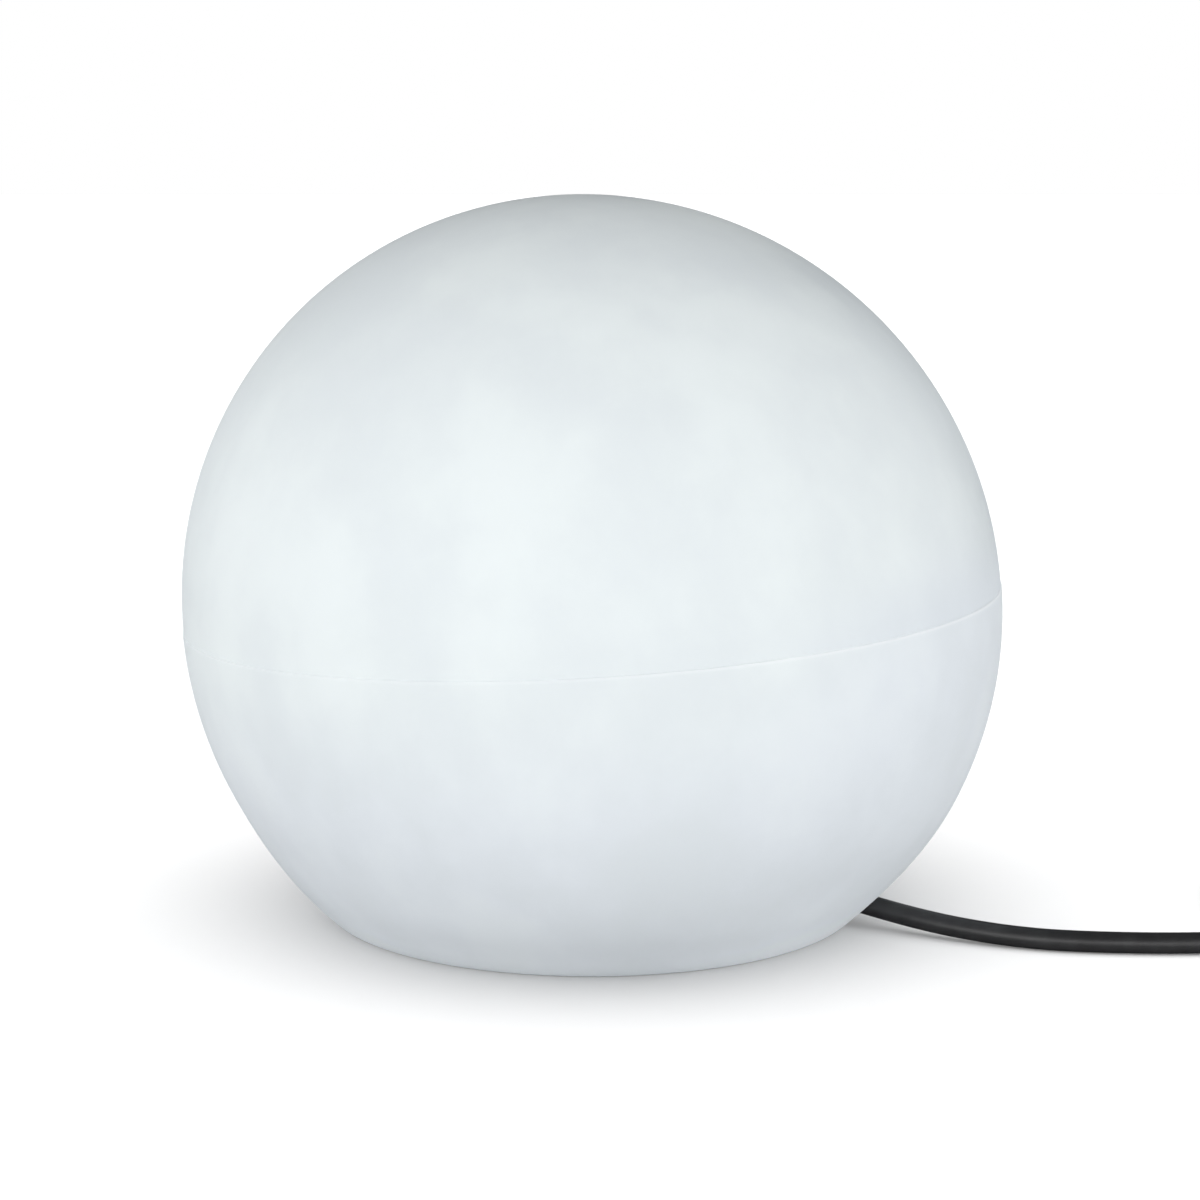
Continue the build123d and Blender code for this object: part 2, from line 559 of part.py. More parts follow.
def terminal_block():
    """Two-pole block: a pole for each core, side by side on a common foot."""
    x_range = (BLOCK_CENTRE - BLOCK_LENGTH / 2, BLOCK_CENTRE + BLOCK_LENGTH / 2)
    foot_bottom = BLOCK_TOP - BLOCK_FOOT_HEIGHT
    half = (POLE_PITCH + POLE_WIDTH) / 2
    body = block(x_range, (-half, half), (foot_bottom, BLOCK_TOP))
    for y in lamp_wire_places():
        pole = block(x_range, (y - POLE_WIDTH / 2, y + POLE_WIDTH / 2), (BLOCK_BOTTOM, foot_bottom))
        body += chamfer(pole.edges().group_by(Axis.Z)[0].filter_by(Axis.X), POLE_WIDTH / 6)
    body -= sleeve_bars(SLEEVE_RADIUS + RUNNING_FIT, BLOCK_LENGTH)
    body -= small_bars(terminal_screw_places(), TERMINAL_SCREW_RADIUS + ASSEMBLY_FIT, BLOCK_BOTTOM, WIRE_Z)
    body -= small_bar(SMALL_SCREW_RADIUS + ASSEMBLY_FIT, BLOCK_BOTTOM, BLOCK_TOP, BLOCK_CENTRE)
    return body - small_bar(SMALL_HEAD_RADIUS + ASSEMBLY_FIT, BLOCK_BOTTOM, foot_bottom, BLOCK_CENTRE)


def terminal_block_screw():
    """Screw up through the block's foot into the plate."""
    seat = BLOCK_TOP - BLOCK_FOOT_HEIGHT
    return Pos(BLOCK_CENTRE, 0, seat) * small_screw(BLOCK_FOOT_HEIGHT + PLATE_THICKNESS / 2)


def terminal_sleeves():
    """A brass tube in each pole, tapped for its two screws."""
    sleeves = Part() + sleeve_bars(SLEEVE_RADIUS, SLEEVE_LENGTH)
    sleeves -= sleeve_bars(SLEEVE_RADIUS - SLEEVE_WALL, SLEEVE_LENGTH)
    holes = small_bars(terminal_screw_places(), TERMINAL_SCREW_RADIUS + RUNNING_FIT, BLOCK_BOTTOM, WIRE_Z)
    return sleeves - holes


def terminal_screws():
    """Four headless screws that press the conductors in the sleeves."""
    tip = WIRE_Z - CORE_RADIUS - RUNNING_FIT
    return small_bars(terminal_screw_places(), TERMINAL_SCREW_RADIUS, BLOCK_BOTTOM, tip)


def wire(points, radius, bends):
    """A single wire: straight runs joined by tangent arcs."""
    path = FilletPolyline(*points, radius=bends)
    start = Plane(origin=path @ 0, z_dir=path % 0)
    return sweep(start * RegularPolygon(radius, WIRE_SIDES), path=path)


def cable_core(side):
    """An insulated core from the cut jacket to its pole."""
    y_end = side * POLE_PITCH / 2
    y_start = side * (CORE_RADIUS + ASSEMBLY_FIT)
    block_face = BLOCK_CENTRE + BLOCK_LENGTH / 2
    end = BLOCK_CENTRE + TERMINAL_SCREW_SPACING / 4
    points = [
        (JACKET_END, y_start, CABLE_AXIS_Z),
        (JACKET_END - CORE_LEAD_IN, y_start, CABLE_AXIS_Z),
        (block_face + CORE_LEAD_IN, y_end, WIRE_Z),
        (end, y_end, WIRE_Z),
    ]
    return wire(points, CORE_RADIUS, WIRE_BEND)


def lamp_wire(side):
    """A wire from its pole, up through the plate, to the lampholder's contact."""
    y = side * POLE_PITCH / 2
    start = BLOCK_CENTRE - TERMINAL_SCREW_SPACING / 4
    points = [
        (start, y, WIRE_Z),
        (WIRE_RISE_X, y, WIRE_Z),
        (WIRE_RISE_X, y, PLATE_TOP + WIRE_SLACK_RISE),
        (WIRE_RISE_X + WIRE_CROSSING, y, DISC_BOTTOM - WIRE_BEND - 1.0),
        (WIRE_RISE_X + WIRE_CROSSING, y, DISC_BOTTOM),
    ]
    return wire(points, LAMP_WIRE_RADIUS, WIRE_BEND)


# --- gland ------------------------------------------------------------------------------------
def hexagon(start, end):
    """A hexagonal bar along the cable, flats up and down."""
    outline = Plane(origin=(start, 0, CABLE_AXIS_Z), x_dir=(0, 1, 0), z_dir=(1, 0, 0))
    return extrude(outline * RegularPolygon(GLAND_HEX / 2, 6, major_radius=False), end - start)


def gland_bar(radius, start, end):
    """A round bar on the gland's axis."""
    return bar_along_x(radius, start, end, 0, CABLE_AXIS_Z)


def gland_body():
    """Threaded shank through the chamber's wall, hexagonal flange and outer sleeve."""
    wall_face = CHAMBER_FRONT - CHAMBER_WALL
    shank_end = wall_face - LOCKNUT_THICKNESS - LOCKNUT_THREAD_SHOW
    body = gland_bar(GLAND_THREAD_RADIUS, shank_end, CHAMBER_FRONT)
    body += hexagon(CHAMBER_FRONT, CHAMBER_FRONT + GLAND_FLANGE_LENGTH)
    body += gland_bar(GLAND_SLEEVE_RADIUS, CHAMBER_FRONT, SLEEVE_END)
    seal_start = SLEEVE_END - SEAL_LENGTH
    body -= gland_bar(GLAND_BORE_RADIUS, seal_start, SLEEVE_END)
    return body - gland_bar(CABLE_RADIUS + ASSEMBLY_FIT, shank_end, seal_start)


def gland_seal():
    """Rubber ring that the nut squeezes onto the cable."""
    start = SLEEVE_END - SEAL_LENGTH
    seal = gland_bar(GLAND_BORE_RADIUS - RUNNING_FIT, start, SLEEVE_END)
    return seal - gland_bar(CABLE_RADIUS + GRIP_CLEARANCE, start, SLEEVE_END)


def gland_nut():
    """Hexagonal cap nut with a long tapered nose that guides the cable."""
    start = CHAMBER_FRONT + GLAND_FLANGE_LENGTH
    nut = hexagon(start, SLEEVE_END)
    nose = Plane(origin=(SLEEVE_END, 0, CABLE_AXIS_Z), x_dir=(0, 1, 0), z_dir=(1, 0, 0))
    nut += loft([nose * Circle(GLAND_HEX / 2), nose * Pos(0, 0, GLAND_NOSE_LENGTH) * Circle(GLAND_NOSE_RADIUS)])
    nut -= gland_bar(GLAND_SLEEVE_RADIUS + ASSEMBLY_FIT, start, SLEEVE_END)
    nut -= gland_bar(CABLE_RADIUS + 2 * ASSEMBLY_FIT, SLEEVE_END, GLAND_FACE)
    mouth = nut.faces().sort_by(Axis.X)[-1].edges().sort_by(SortBy.LENGTH)[0]
    return chamfer(mouth, GLAND_MOUTH_BEVEL)


def gland_locknut():
    """Nut on the shank, inside the chamber's wall."""
    wall_face = CHAMBER_FRONT - CHAMBER_WALL
    nut = hexagon(wall_face - LOCKNUT_THICKNESS, wall_face)
    return nut - gland_bar(GLAND_THREAD_RADIUS + RUNNING_FIT, wall_face - LOCKNUT_THICKNESS, wall_face)


# --- lampholder -----------------------------------------------------------------------------------
def lampholder_base():
    """Flanged housing on the plate, hollow below for the wires."""
    outline = [
        (0, PLATE_TOP), (HOLDER_FLANGE_RADIUS, PLATE_TOP),
        (HOLDER_FLANGE_RADIUS, PLATE_TOP + HOLDER_FLANGE_THICKNESS),
        (HOLDER_FLANGE_RADIUS - HOLDER_WALL, PLATE_TOP + HOLDER_FLANGE_THICKNESS),
        (HOLDER_SHOULDER_RADIUS, HOLDER_TOP), (0, HOLDER_TOP),
    ]
    body = revolved(outline)
    hollow = [
        (0, PLATE_TOP), (HOLDER_FLANGE_RADIUS - 2 * HOLDER_WALL, PLATE_TOP),
        (HOLDER_SHOULDER_RADIUS - HOLDER_WALL, DISC_BOTTOM), (0, DISC_BOTTOM),
    ]
    body -= revolved(hollow)
    places = holder_screw_places()
    flange_top = PLATE_TOP + HOLDER_FLANGE_THICKNESS
    body += square_posts(places, PLATE_TOP, flange_top)
    body -= small_bars(places, SMALL_HEAD_RADIUS + 2 * ASSEMBLY_FIT, flange_top, HOLDER_TOP)
    body -= small_bars(places, SMALL_SCREW_RADIUS + ASSEMBLY_FIT, PLATE_TOP, HOLDER_TOP)
    return body - rod(disc_radius() + RUNNING_FIT, DISC_BOTTOM, HOLDER_TOP)


def disc_radius():
    """Outside of the insulating disc: the collar's seat."""
    return COLLAR_RADIUS - COLLAR_WALL / 2


def lampholder_disc():
    """Insulating disc that carries the two contacts."""
    neck = COLLAR_RADIUS - COLLAR_WALL - ASSEMBLY_FIT
    outline = [
        (0, DISC_BOTTOM), (disc_radius(), DISC_BOTTOM), (disc_radius(), HOLDER_TOP),
        (neck, HOLDER_TOP), (neck, DISC_TOP), (0, DISC_TOP),
    ]
    return revolved(outline)


def lampholder_collar():
    """Outer collar round the metal shell, with grip flutes."""
    top = HOLDER_TOP + COLLAR_HEIGHT
    inner = COLLAR_RADIUS - COLLAR_WALL
    lip = SHELL_BORE_RADIUS + SHELL_WALL + ASSEMBLY_FIT
    outline = [
        (inner, HOLDER_TOP), (COLLAR_RADIUS, HOLDER_TOP), (COLLAR_RADIUS, top - COLLAR_BEVEL),
        (COLLAR_RADIUS - COLLAR_BEVEL, top), (lip, top), (lip, top - COLLAR_WALL), (inner, top - COLLAR_WALL),
    ]
    flute = small_bar(COLLAR_FLUTE_RADIUS, HOLDER_TOP + COLLAR_FLUTE_MARGIN, top - COLLAR_FLUTE_MARGIN)
    return revolved(outline) - [place * flute for place in PolarLocations(COLLAR_RADIUS, COLLAR_FLUTES)]


def screw_shell():
    """Metal shell that the bulb's cap screws into."""
    return ring(SHELL_BORE_RADIUS + SHELL_WALL, SHELL_BORE_RADIUS, DISC_TOP, DISC_TOP + SHELL_HEIGHT)


def centre_contact():
    """Bent spring strip under the bulb's centre contact."""
    low, high = DISC_TOP, DISC_TOP + SPRING_RISE
    foot_end, foot_bend = SPRING_FOOT
    tip_bend, tip_end = SPRING_TIP
    under = high - SPRING_THICKNESS
    over = low + SPRING_THICKNESS
    lower_side = [(foot_end, 0, low), (foot_bend, 0, low), (tip_bend, 0, under), (tip_end, 0, under)]
    upper_side = [(tip_end, 0, high), (tip_bend - SPRING_SLOPE_SHIFT, 0, high),
                  (foot_bend - SPRING_SLOPE_SHIFT, 0, over), (foot_end, 0, over)]
    outline = make_face(Polyline(*lower_side, *upper_side, close=True))
    return extrude(outline, SPRING_WIDTH / 2, both=True)


def holder_screws():
    """Two screws, heads up, through the lampholder's flange into the plate."""
    seat = PLATE_TOP + HOLDER_FLANGE_THICKNESS
    screw = Rot(180, 0, 0) * small_screw(HOLDER_SCREW_LENGTH)
    return [Pos(x, y, seat) * screw for x, y in holder_screw_places()]


# --- bulb -------------------------------------------------------------------------------------------
def bulb_contact():
    """Centre contact of the bulb's cap."""
    button = rod(BUTTON_RADIUS, BUTTON_Z, BUTTON_Z + BUTTON_HEIGHT)
    return chamfer(button.edges().group_by(Axis.Z)[0], BUTTON_BEVEL)


def bulb_insulator():
    """Dark ring between the centre contact and the threaded cap."""
    bottom = BUTTON_Z + BUTTON_HEIGHT
    outline = [(0, bottom), (BUTTON_RADIUS + INSULATOR_LEDGE, bottom), (INSULATOR_RADIUS, CAP_BOTTOM), (0, CAP_BOTTOM)]
    return revolved(outline)


def bulb_cap():
    """Thin metal cap, closed round the insulator."""
    inner = CAP_RADIUS - CAP_WALL
    floor_top = CAP_BOTTOM + CAP_FLOOR + CAP_WALL / 2
    outline = [
        (0, CAP_BOTTOM), (INSULATOR_RADIUS, CAP_BOTTOM), (CAP_RADIUS, CAP_BOTTOM + CAP_FLOOR),
        (CAP_RADIUS, CAP_TOP), (inner, CAP_TOP), (inner, floor_top), (0, floor_top),
    ]
    return revolved(outline)


def bulb_housing():
    """White plastic body that flares from the cap to the diffuser, hollow inside."""
    neck = CAP_RADIUS - CAP_WALL - RUNNING_FIT
    bottom = CAP_TOP - HOUSING_PLUG
    outline = [
        (neck - HOUSING_WALL, bottom), (neck, bottom), (neck, CAP_TOP), (HOUSING_NECK_RADIUS, CAP_TOP),
        (HOUSING_TOP_RADIUS - HOUSING_BRIM_STEP, HOUSING_TOP - HOUSING_BRIM), (HOUSING_TOP_RADIUS, HOUSING_TOP),
        (HOUSING_TOP_RADIUS - HOUSING_WALL, HOUSING_TOP), (neck - HOUSING_WALL, CAP_TOP + HOUSING_THROAT),
    ]
    return revolved(outline)


def bulb_led_board():
    """Round board on the housing's rim, with a ring of LEDs."""
    seat = HOUSING_TOP
    board = rod(HOUSING_TOP_RADIUS - HOUSING_WALL / 2, seat, seat + BOARD_THICKNESS)
    led = Pos(0, 0, seat + BOARD_THICKNESS + LED_HEIGHT / 2) * Box(LED_SIZE, LED_SIZE, LED_HEIGHT)
    return board + [place * led for place in PolarLocations(LED_CIRCLE_RADIUS, LED_COUNT)]


def bulb_driver():
    """Driver board under the LED board, with its capacitor and choke."""
    half, face = DRIVER_WIDTH / 2, DRIVER_THICKNESS / 2
    board = block((-half, half), (-face, face), (HOUSING_TOP - DRIVER_REACH, HOUSING_TOP))
    top = HOUSING_TOP - DRIVER_TOP_MARGIN
    capacitor = rod(CAPACITOR_RADIUS, top - CAPACITOR_HEIGHT, top, half / 4, face + CAPACITOR_RADIUS - SOLDERED_DEPTH)
    length, depth, height = CHOKE_SIZE
    choke = block((half / 4 - length, half / 4), (-face - depth, -face), (top - height, top))
    return board + capacitor + choke


def diffuser_form(inset):
    """The dome's outline as a solid: a straight foot and most of a ball."""
    radius = BULB_RADIUS - inset
    foot = HOUSING_TOP_RADIUS - inset
    centre_z = HOUSING_TOP + DIFFUSER_HEIGHT - BULB_RADIUS
    side_z = centre_z - sqrt(radius ** 2 - foot ** 2)
    dome = dome_outline(radius, centre_z, side_z, DIFFUSER_BANDS)
    return revolved([(0, HOUSING_TOP), (foot, HOUSING_TOP)] + dome)


def bulb_diffuser():
    """Opal dome over the LED board."""
    board_radius = HOUSING_TOP_RADIUS - HOUSING_WALL / 2 + RUNNING_FIT
    board = rod(board_radius, HOUSING_TOP, HOUSING_TOP + BOARD_THICKNESS + RUNNING_FIT)
    return diffuser_form(0) - diffuser_form(DIFFUSER_WALL) - board


# --- mains lead ------------------------------------------------------------------------------------------
def lead_route():
    """The lead's points from inside the gland to the coil."""
    azimuth = radians(EXIT_AZIMUTH)
    along = [(HELD_ROUTE_START, CABLE_AXIS_Z), (EXIT_BEND_START, CABLE_AXIS_Z), (RIM_PASS_RADIUS, RIM_PASS_Z)]
    points = [(r * cos(azimuth), r * sin(azimuth), z) for r, z in along]
    points += list(FLOOR_ROUTE[:-1])
    last_x, last_y, _ = FLOOR_ROUTE[-1]
    points.append((last_x, last_y, LAYER_ONE_Z))
    return points + [(COIL_CENTRE_X - 2 * CABLE_RADIUS, last_y, LAYER_ONE_Z)]


def route_radii(points):
    """Each bend's radius: 0.45 of its shorter run over the tangent of half its turn."""
    radii = []
    for before, corner, after in zip(points, points[1:], points[2:]):
        first = Vector(*corner) - Vector(*before)
        second = Vector(*after) - Vector(*corner)
        half_turn = radians(first.get_angle(second)) / 2
        radii.append(0.45 * min(first.length, second.length) / tan(half_turn))
    return radii


def cable_lead():
    """The cable from its cut end in the chamber, through the gland and along the floor."""
    points = lead_route()
    radii = route_radii(points)
    azimuth = radians(EXIT_AZIMUTH)
    cut_end = (JACKET_END * cos(azimuth), JACKET_END * sin(azimuth), CABLE_AXIS_Z)
    route = FilletPolyline(*points, radius=radii)
    path = Wire([Edge.make_line(cut_end, points[0])] + list(route.edges()))
    section = Plane(origin=cut_end, z_dir=path % 0) * RegularPolygon(CABLE_RADIUS, LEAD_SIDES)
    tube = sweep(section, path=path)
    expected = section.area * path.length
    print("lead: length %.1f, radii %s" % (path.length, [round(r, 1) for r in radii]))
    print("lead: volume %.1f, section times length %.1f" % (tube.volume, expected))
    return tube, route.length


def coil_radius(turn):
    """Radius of the coil's centre line: in at a steady rate, then out again."""
    return COIL_INNER_RADIUS + TURN_PITCH * abs(turn - TURNING_POINT)


def coil_height(turn):
    """Height of the centre line: up one layer while it passes the turning point."""
    share = min(max((turn - INWARD_TURNS) / CLIMB_TURNS, 0.0), 1.0)
    return LAYER_ONE_Z + TURN_PITCH * share * share * (3 - 2 * share)


def coil_point(turn):
    """A point of the coil's centre line, counted in turns from its start."""
    angle = 2 * pi * (turn - 0.25)
    radius = coil_radius(turn)
    return Vector(COIL_CENTRE_X + radius * cos(angle), COIL_CENTRE_Y + radius * sin(angle), coil_height(turn))


def coil_direction(turn):
    """The way the cable runs at a point of the coil."""
    step = 0.001
    return (coil_point(turn + step) - coil_point(turn - step)).normalized()


def biarc(start, start_way, end, end_way):
    """Two tangent arcs between two points with given directions."""
    chord = end - start
    both = start_way + end_way
    bend = 2 * (1 - start_way.dot(end_way))
    reach = (-chord.dot(both) + sqrt(chord.dot(both) ** 2 + bend * chord.dot(chord))) / bend
    joint = (start + end + (start_way - end_way) * reach) / 2
    first = Edge.make_tangent_arc(start, start_way, joint)
    return [first, Edge.make_tangent_arc(joint, first.tangent_at(1), end)]


def coil_path():
    """Straight end, the turns as biarcs of a quarter turn, and a straight tail."""
    total = INWARD_TURNS + CLIMB_TURNS + OUTWARD_TURNS
    steps = round(4 * total)
    turns = [total * step / steps for step in range(steps + 1)]
    ways = [coil_direction(turn) for turn in turns]
    ways[0] = Vector(1, 0, 0)
    ways[-1] = Vector(0, 1, 0)
    points = [coil_point(turn) for turn in turns]
    edges = [Edge.make_line(points[0] - ways[0] * 2 * CABLE_RADIUS, points[0])]
    for start, start_way, end, end_way in zip(points, ways, points[1:], ways[1:]):
        edges += biarc(start, start_way, end, end_way)
    edges.append(Edge.make_line(points[-1], points[-1] + ways[-1] * TAIL_LENGTH))
    return Wire(edges)


def coil_gap(path):
    """Least gap between the coil's turns, measured on points of its centre line."""
    count = ceil(path.length / 3.0)
    points = [path @ (step / count) for step in range(count + 1)]
    apart = floor(4 * CABLE_RADIUS / (path.length / count)) + 1
    least = min((a - b).length for i, a in enumerate(points) for b in points[i + apart:])
    return least - 2 * CABLE_RADIUS


def cable_coil():
    """The put-away length: two layers of turns on the floor, in one unbroken tube."""
    path = coil_path()
    start = Plane(origin=path @ 0, z_dir=path % 0)
    section = start * RegularPolygon(CABLE_RADIUS, COIL_SIDES)
    tube = sweep(section, path=path)
    print("coil: length %.1f, least gap %.2f" % (path.length, coil_gap(path)))
    print("coil: volume %.1f, section times length %.1f" % (tube.volume, section.area * path.length))
    return tube, path.length


def coil_ties():
    """Two straps round the bundle of turns, flat on the floor."""
    inner_turn = COIL_INNER_RADIUS - CABLE_RADIUS
    inner = sqrt(inner_turn ** 2 - (TIE_WIDTH / 2) ** 2) - TIE_CLEARANCE
    outer = COIL_OUTER_RADIUS + CABLE_RADIUS + TIE_CLEARANCE
    low = TIE_THICKNESS
    high = LAYER_TWO_Z + CABLE_RADIUS + TIE_CLEARANCE
    hole = block((inner, outer), (-TIE_WIDTH, TIE_WIDTH), (low, high))
    strap = block((inner - TIE_THICKNESS, outer + TIE_THICKNESS), (-TIE_WIDTH / 2, TIE_WIDTH / 2),
                  (0, high + TIE_THICKNESS))
    strap = chamfer(strap.edges().filter_by(Axis.Y), TIE_THICKNESS) - hole
    centre = Pos(COIL_CENTRE_X, COIL_CENTRE_Y, 0)
    return [centre * Rot(0, 0, azimuth) * strap for azimuth in TIE_AZIMUTHS]


# --- plug ---------------------------------------------------------------------------------------------------
def plug_frame(distance):
    """A plane across the plug's axis, this far beyond the end of the tail."""
    end = coil_point(INWARD_TURNS + CLIMB_TURNS + OUTWARD_TURNS)
    origin = (end.X, end.Y + TAIL_LENGTH + distance, end.Z)
    return Plane(origin=origin, x_dir=(1, 0, 0), z_dir=(0, 1, 0))


def plug_strain_relief():
    """Tapered sleeve between the cable and the plug, slotted on alternate sides to bend."""
    tip = plug_frame(0) * RegularPolygon(RELIEF_TIP_RADIUS, LEAD_SIDES)
    root = plug_frame(RELIEF_LENGTH) * RegularPolygon(RELIEF_ROOT_RADIUS, LEAD_SIDES)
    relief = loft([tip, root], ruled=True)
    pitch = RELIEF_LENGTH / (RELIEF_SLOTS + 1)
    slot = Box(2 * RELIEF_ROOT_RADIUS, 2 * RELIEF_ROOT_RADIUS, RELIEF_SLOT_WIDTH)
    reach = CABLE_RADIUS * RELIEF_SLOT_DEPTH_SHARE + RELIEF_ROOT_RADIUS
    for number in range(1, RELIEF_SLOTS + 1):
        frame = plug_frame(number * pitch)
        if number % 2:
            relief -= [frame * Pos(side * reach, 0, 0) * slot for side in (-1, 1)]
        else:
            relief -= [frame * Pos(0, side * reach, 0) * slot for side in (-1, 1)]
    return relief


def plug_section(width, height, corner, distance):
    """One cross-section of the plug's body: a rectangle with cut corners."""
    x, y = width / 2, height / 2
    points = [(x, y - corner), (x - corner, y), (corner - x, y), (-x, y - corner),
              (-x, corner - y), (corner - x, -y), (x - corner, -y), (x, corner - y)]
    return plug_frame(RELIEF_LENGTH + distance) * Polygon(*points, align=None)


def plug_body():
    """Moulded plug that lies flat on the floor, with sockets for its pins."""
    height = 2 * (LAYER_TWO_Z - PLUG_FLOOR_GAP)
    sections = [
        plug_section(PLUG_WIDTH * width, height * tall, height * PLUG_CORNER_SHARE, PLUG_LENGTH * place)
        for place, width, tall in PLUG_SECTIONS
    ]
    body = loft(sections, ruled=True)
    face = plug_frame(RELIEF_LENGTH + PLUG_LENGTH)
    for side in (-1, 1):
        socket = face * Pos(side * PIN_SPACING / 2, 0, -PIN_ROOT_LENGTH) * Circle(PIN_RADIUS + RUNNING_FIT)
        body -= extrude(socket, PIN_ROOT_LENGTH)
    return body


def plug_pins():
    """Two round pins."""
    face = plug_frame(RELIEF_LENGTH + PLUG_LENGTH)
    pins = []
    for side in (-1, 1):
        foot = face * Pos(side * PIN_SPACING / 2, 0, -PIN_ROOT_LENGTH) * Circle(PIN_RADIUS)
        pins.append(extrude(foot, PIN_ROOT_LENGTH + PIN_LENGTH))
    return pins


# --- nodes ----------------------------------------------------------------------------------------------------
def group(solids):
    """Several separate solids of one node."""
    return Compound([solid for piece in solids for solid in piece.solids()])


def build():
    """Every sub-part, by its node's name."""
    lead, lead_length = cable_lead()
    coil, coil_length = cable_coil()
    print("cord from gland to plug: %.0f mm" % (lead_length + coil_length))
    nodes = {
        "globe_shell": globe_shell(),
        "threaded_inserts": turned(group(place * threaded_insert() for place in leg_places())),
        "base_plate": turned(base_plate()),
        "base_gasket": turned(base_gasket()),
        "globe_screws": turned(group(place * globe_screw() for place in leg_places())),
        "feet": turned(group(place * rubber_foot() for place in leg_places())),
        "junction_cover": turned(junction_cover()),
        "cover_gasket": turned(cover_gasket()),
        "cover_screws": turned(group(cover_screws())),
        "cord_clamp": turned(cord_clamp()),
        "clamp_screws": turned(group(clamp_screws())),
        "terminal_block": turned(terminal_block()),
        "terminal_sleeves": turned(group([terminal_sleeves()])),
        "terminal_screws": turned(group(terminal_screws())),
        "terminal_block_screw": turned(terminal_block_screw()),
        "core_brown": turned(cable_core(-1)),
        "core_blue": turned(cable_core(1)),
        "lamp_wire_brown": turned(lamp_wire(-1)),
        "lamp_wire_blue": turned(lamp_wire(1)),
        "gland_body": turned(gland_body()),
        "gland_seal": turned(gland_seal()),
        "gland_nut": turned(gland_nut()),
        "gland_locknut": turned(gland_locknut()),
        "lampholder_base": turned(lampholder_base()),
        "lampholder_disc": turned(lampholder_disc()),
        "lampholder_collar": turned(lampholder_collar()),
        "lampholder_screws": turned(group(holder_screws())),
        "screw_shell": turned(screw_shell()),
        "centre_contact": turned(centre_contact()),
        "bulb_contact": bulb_contact(),
        "bulb_insulator": bulb_insulator(),
        "bulb_cap": bulb_cap(),
        "bulb_housing": bulb_housing(),
        "bulb_driver": bulb_driver(),
        "bulb_led_board": bulb_led_board(),
        "bulb_diffuser": bulb_diffuser(),
        "cable_lead": lead,
        "cable_coil": coil,
        "coil_ties": group(coil_ties()),
        "plug_strain_relief": plug_strain_relief(),
        "plug_body": plug_body(),
        "plug_pins": group(plug_pins()),
    }
    return nodes


os.makedirs("parts", exist_ok=True)
for node_name, node_shape in build().items():
    export_step(node_shape, "parts/" + node_name + ".step")
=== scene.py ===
"""Garden globe light: every piece's finish, the free lead and the studio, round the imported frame."""

import logging
from dataclasses import dataclass
from enum import Enum
from math import acos, atan2, ceil, cos, hypot, pi, radians, sin, sqrt, tan
from typing import Callable, Optional, Sequence, Union

import bmesh
import bpy
from mathutils import Matrix, Vector


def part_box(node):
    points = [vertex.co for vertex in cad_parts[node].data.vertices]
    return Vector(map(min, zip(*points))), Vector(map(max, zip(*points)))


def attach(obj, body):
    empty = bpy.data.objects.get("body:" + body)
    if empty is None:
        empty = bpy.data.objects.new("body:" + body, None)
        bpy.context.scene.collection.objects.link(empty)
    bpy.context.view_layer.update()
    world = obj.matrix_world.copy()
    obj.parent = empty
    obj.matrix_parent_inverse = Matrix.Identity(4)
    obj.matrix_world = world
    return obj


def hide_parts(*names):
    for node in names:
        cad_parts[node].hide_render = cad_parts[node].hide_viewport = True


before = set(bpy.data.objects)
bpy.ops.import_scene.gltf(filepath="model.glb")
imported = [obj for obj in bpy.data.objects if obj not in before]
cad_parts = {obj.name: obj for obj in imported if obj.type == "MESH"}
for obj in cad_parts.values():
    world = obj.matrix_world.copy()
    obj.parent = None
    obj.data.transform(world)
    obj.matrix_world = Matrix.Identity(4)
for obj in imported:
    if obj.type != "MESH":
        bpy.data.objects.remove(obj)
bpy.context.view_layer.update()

MM = 0.001
EXIT_AZIMUTH = radians(-17.0)          # the way the lead leaves, from +X
TO_EXIT = Matrix.Rotation(EXIT_AZIMUTH, 4, "Z")
SHARP_ANGLE = radians(38.0)            # edges sharper than this stay crisp
MOST_OF_SIDE = 0.48                    # share of a profile's side that a rounding may take
LEG_CIRCLE = 70 * MM                   # radius on which the four legs stand
LEG_COUNT = 4
FIRST_LEG = radians(45)
SEAM_TILT = radians(3.3)               # the parting line rises to the right
WHITE = (1.0, 1.0, 1.0, 1.0)

Color = tuple[float, float, float]
Profile = list[tuple[float, float]]
Settings = Optional[dict]              # values by a node's attribute, or by its input
Corners = Sequence[tuple[float, ...]]  # (radius, height) or (radius, height, rounding)
Shape = Callable[[float, float, float], float]
log = logging.getLogger("garden_globe_light")


class Body(Enum):
    """The rigid bodies that pieces ride on."""

    BASE = "base"
    GLOBE = "globe"
    BULB_FOOT = "bulb_foot"
    BULB = "bulb"


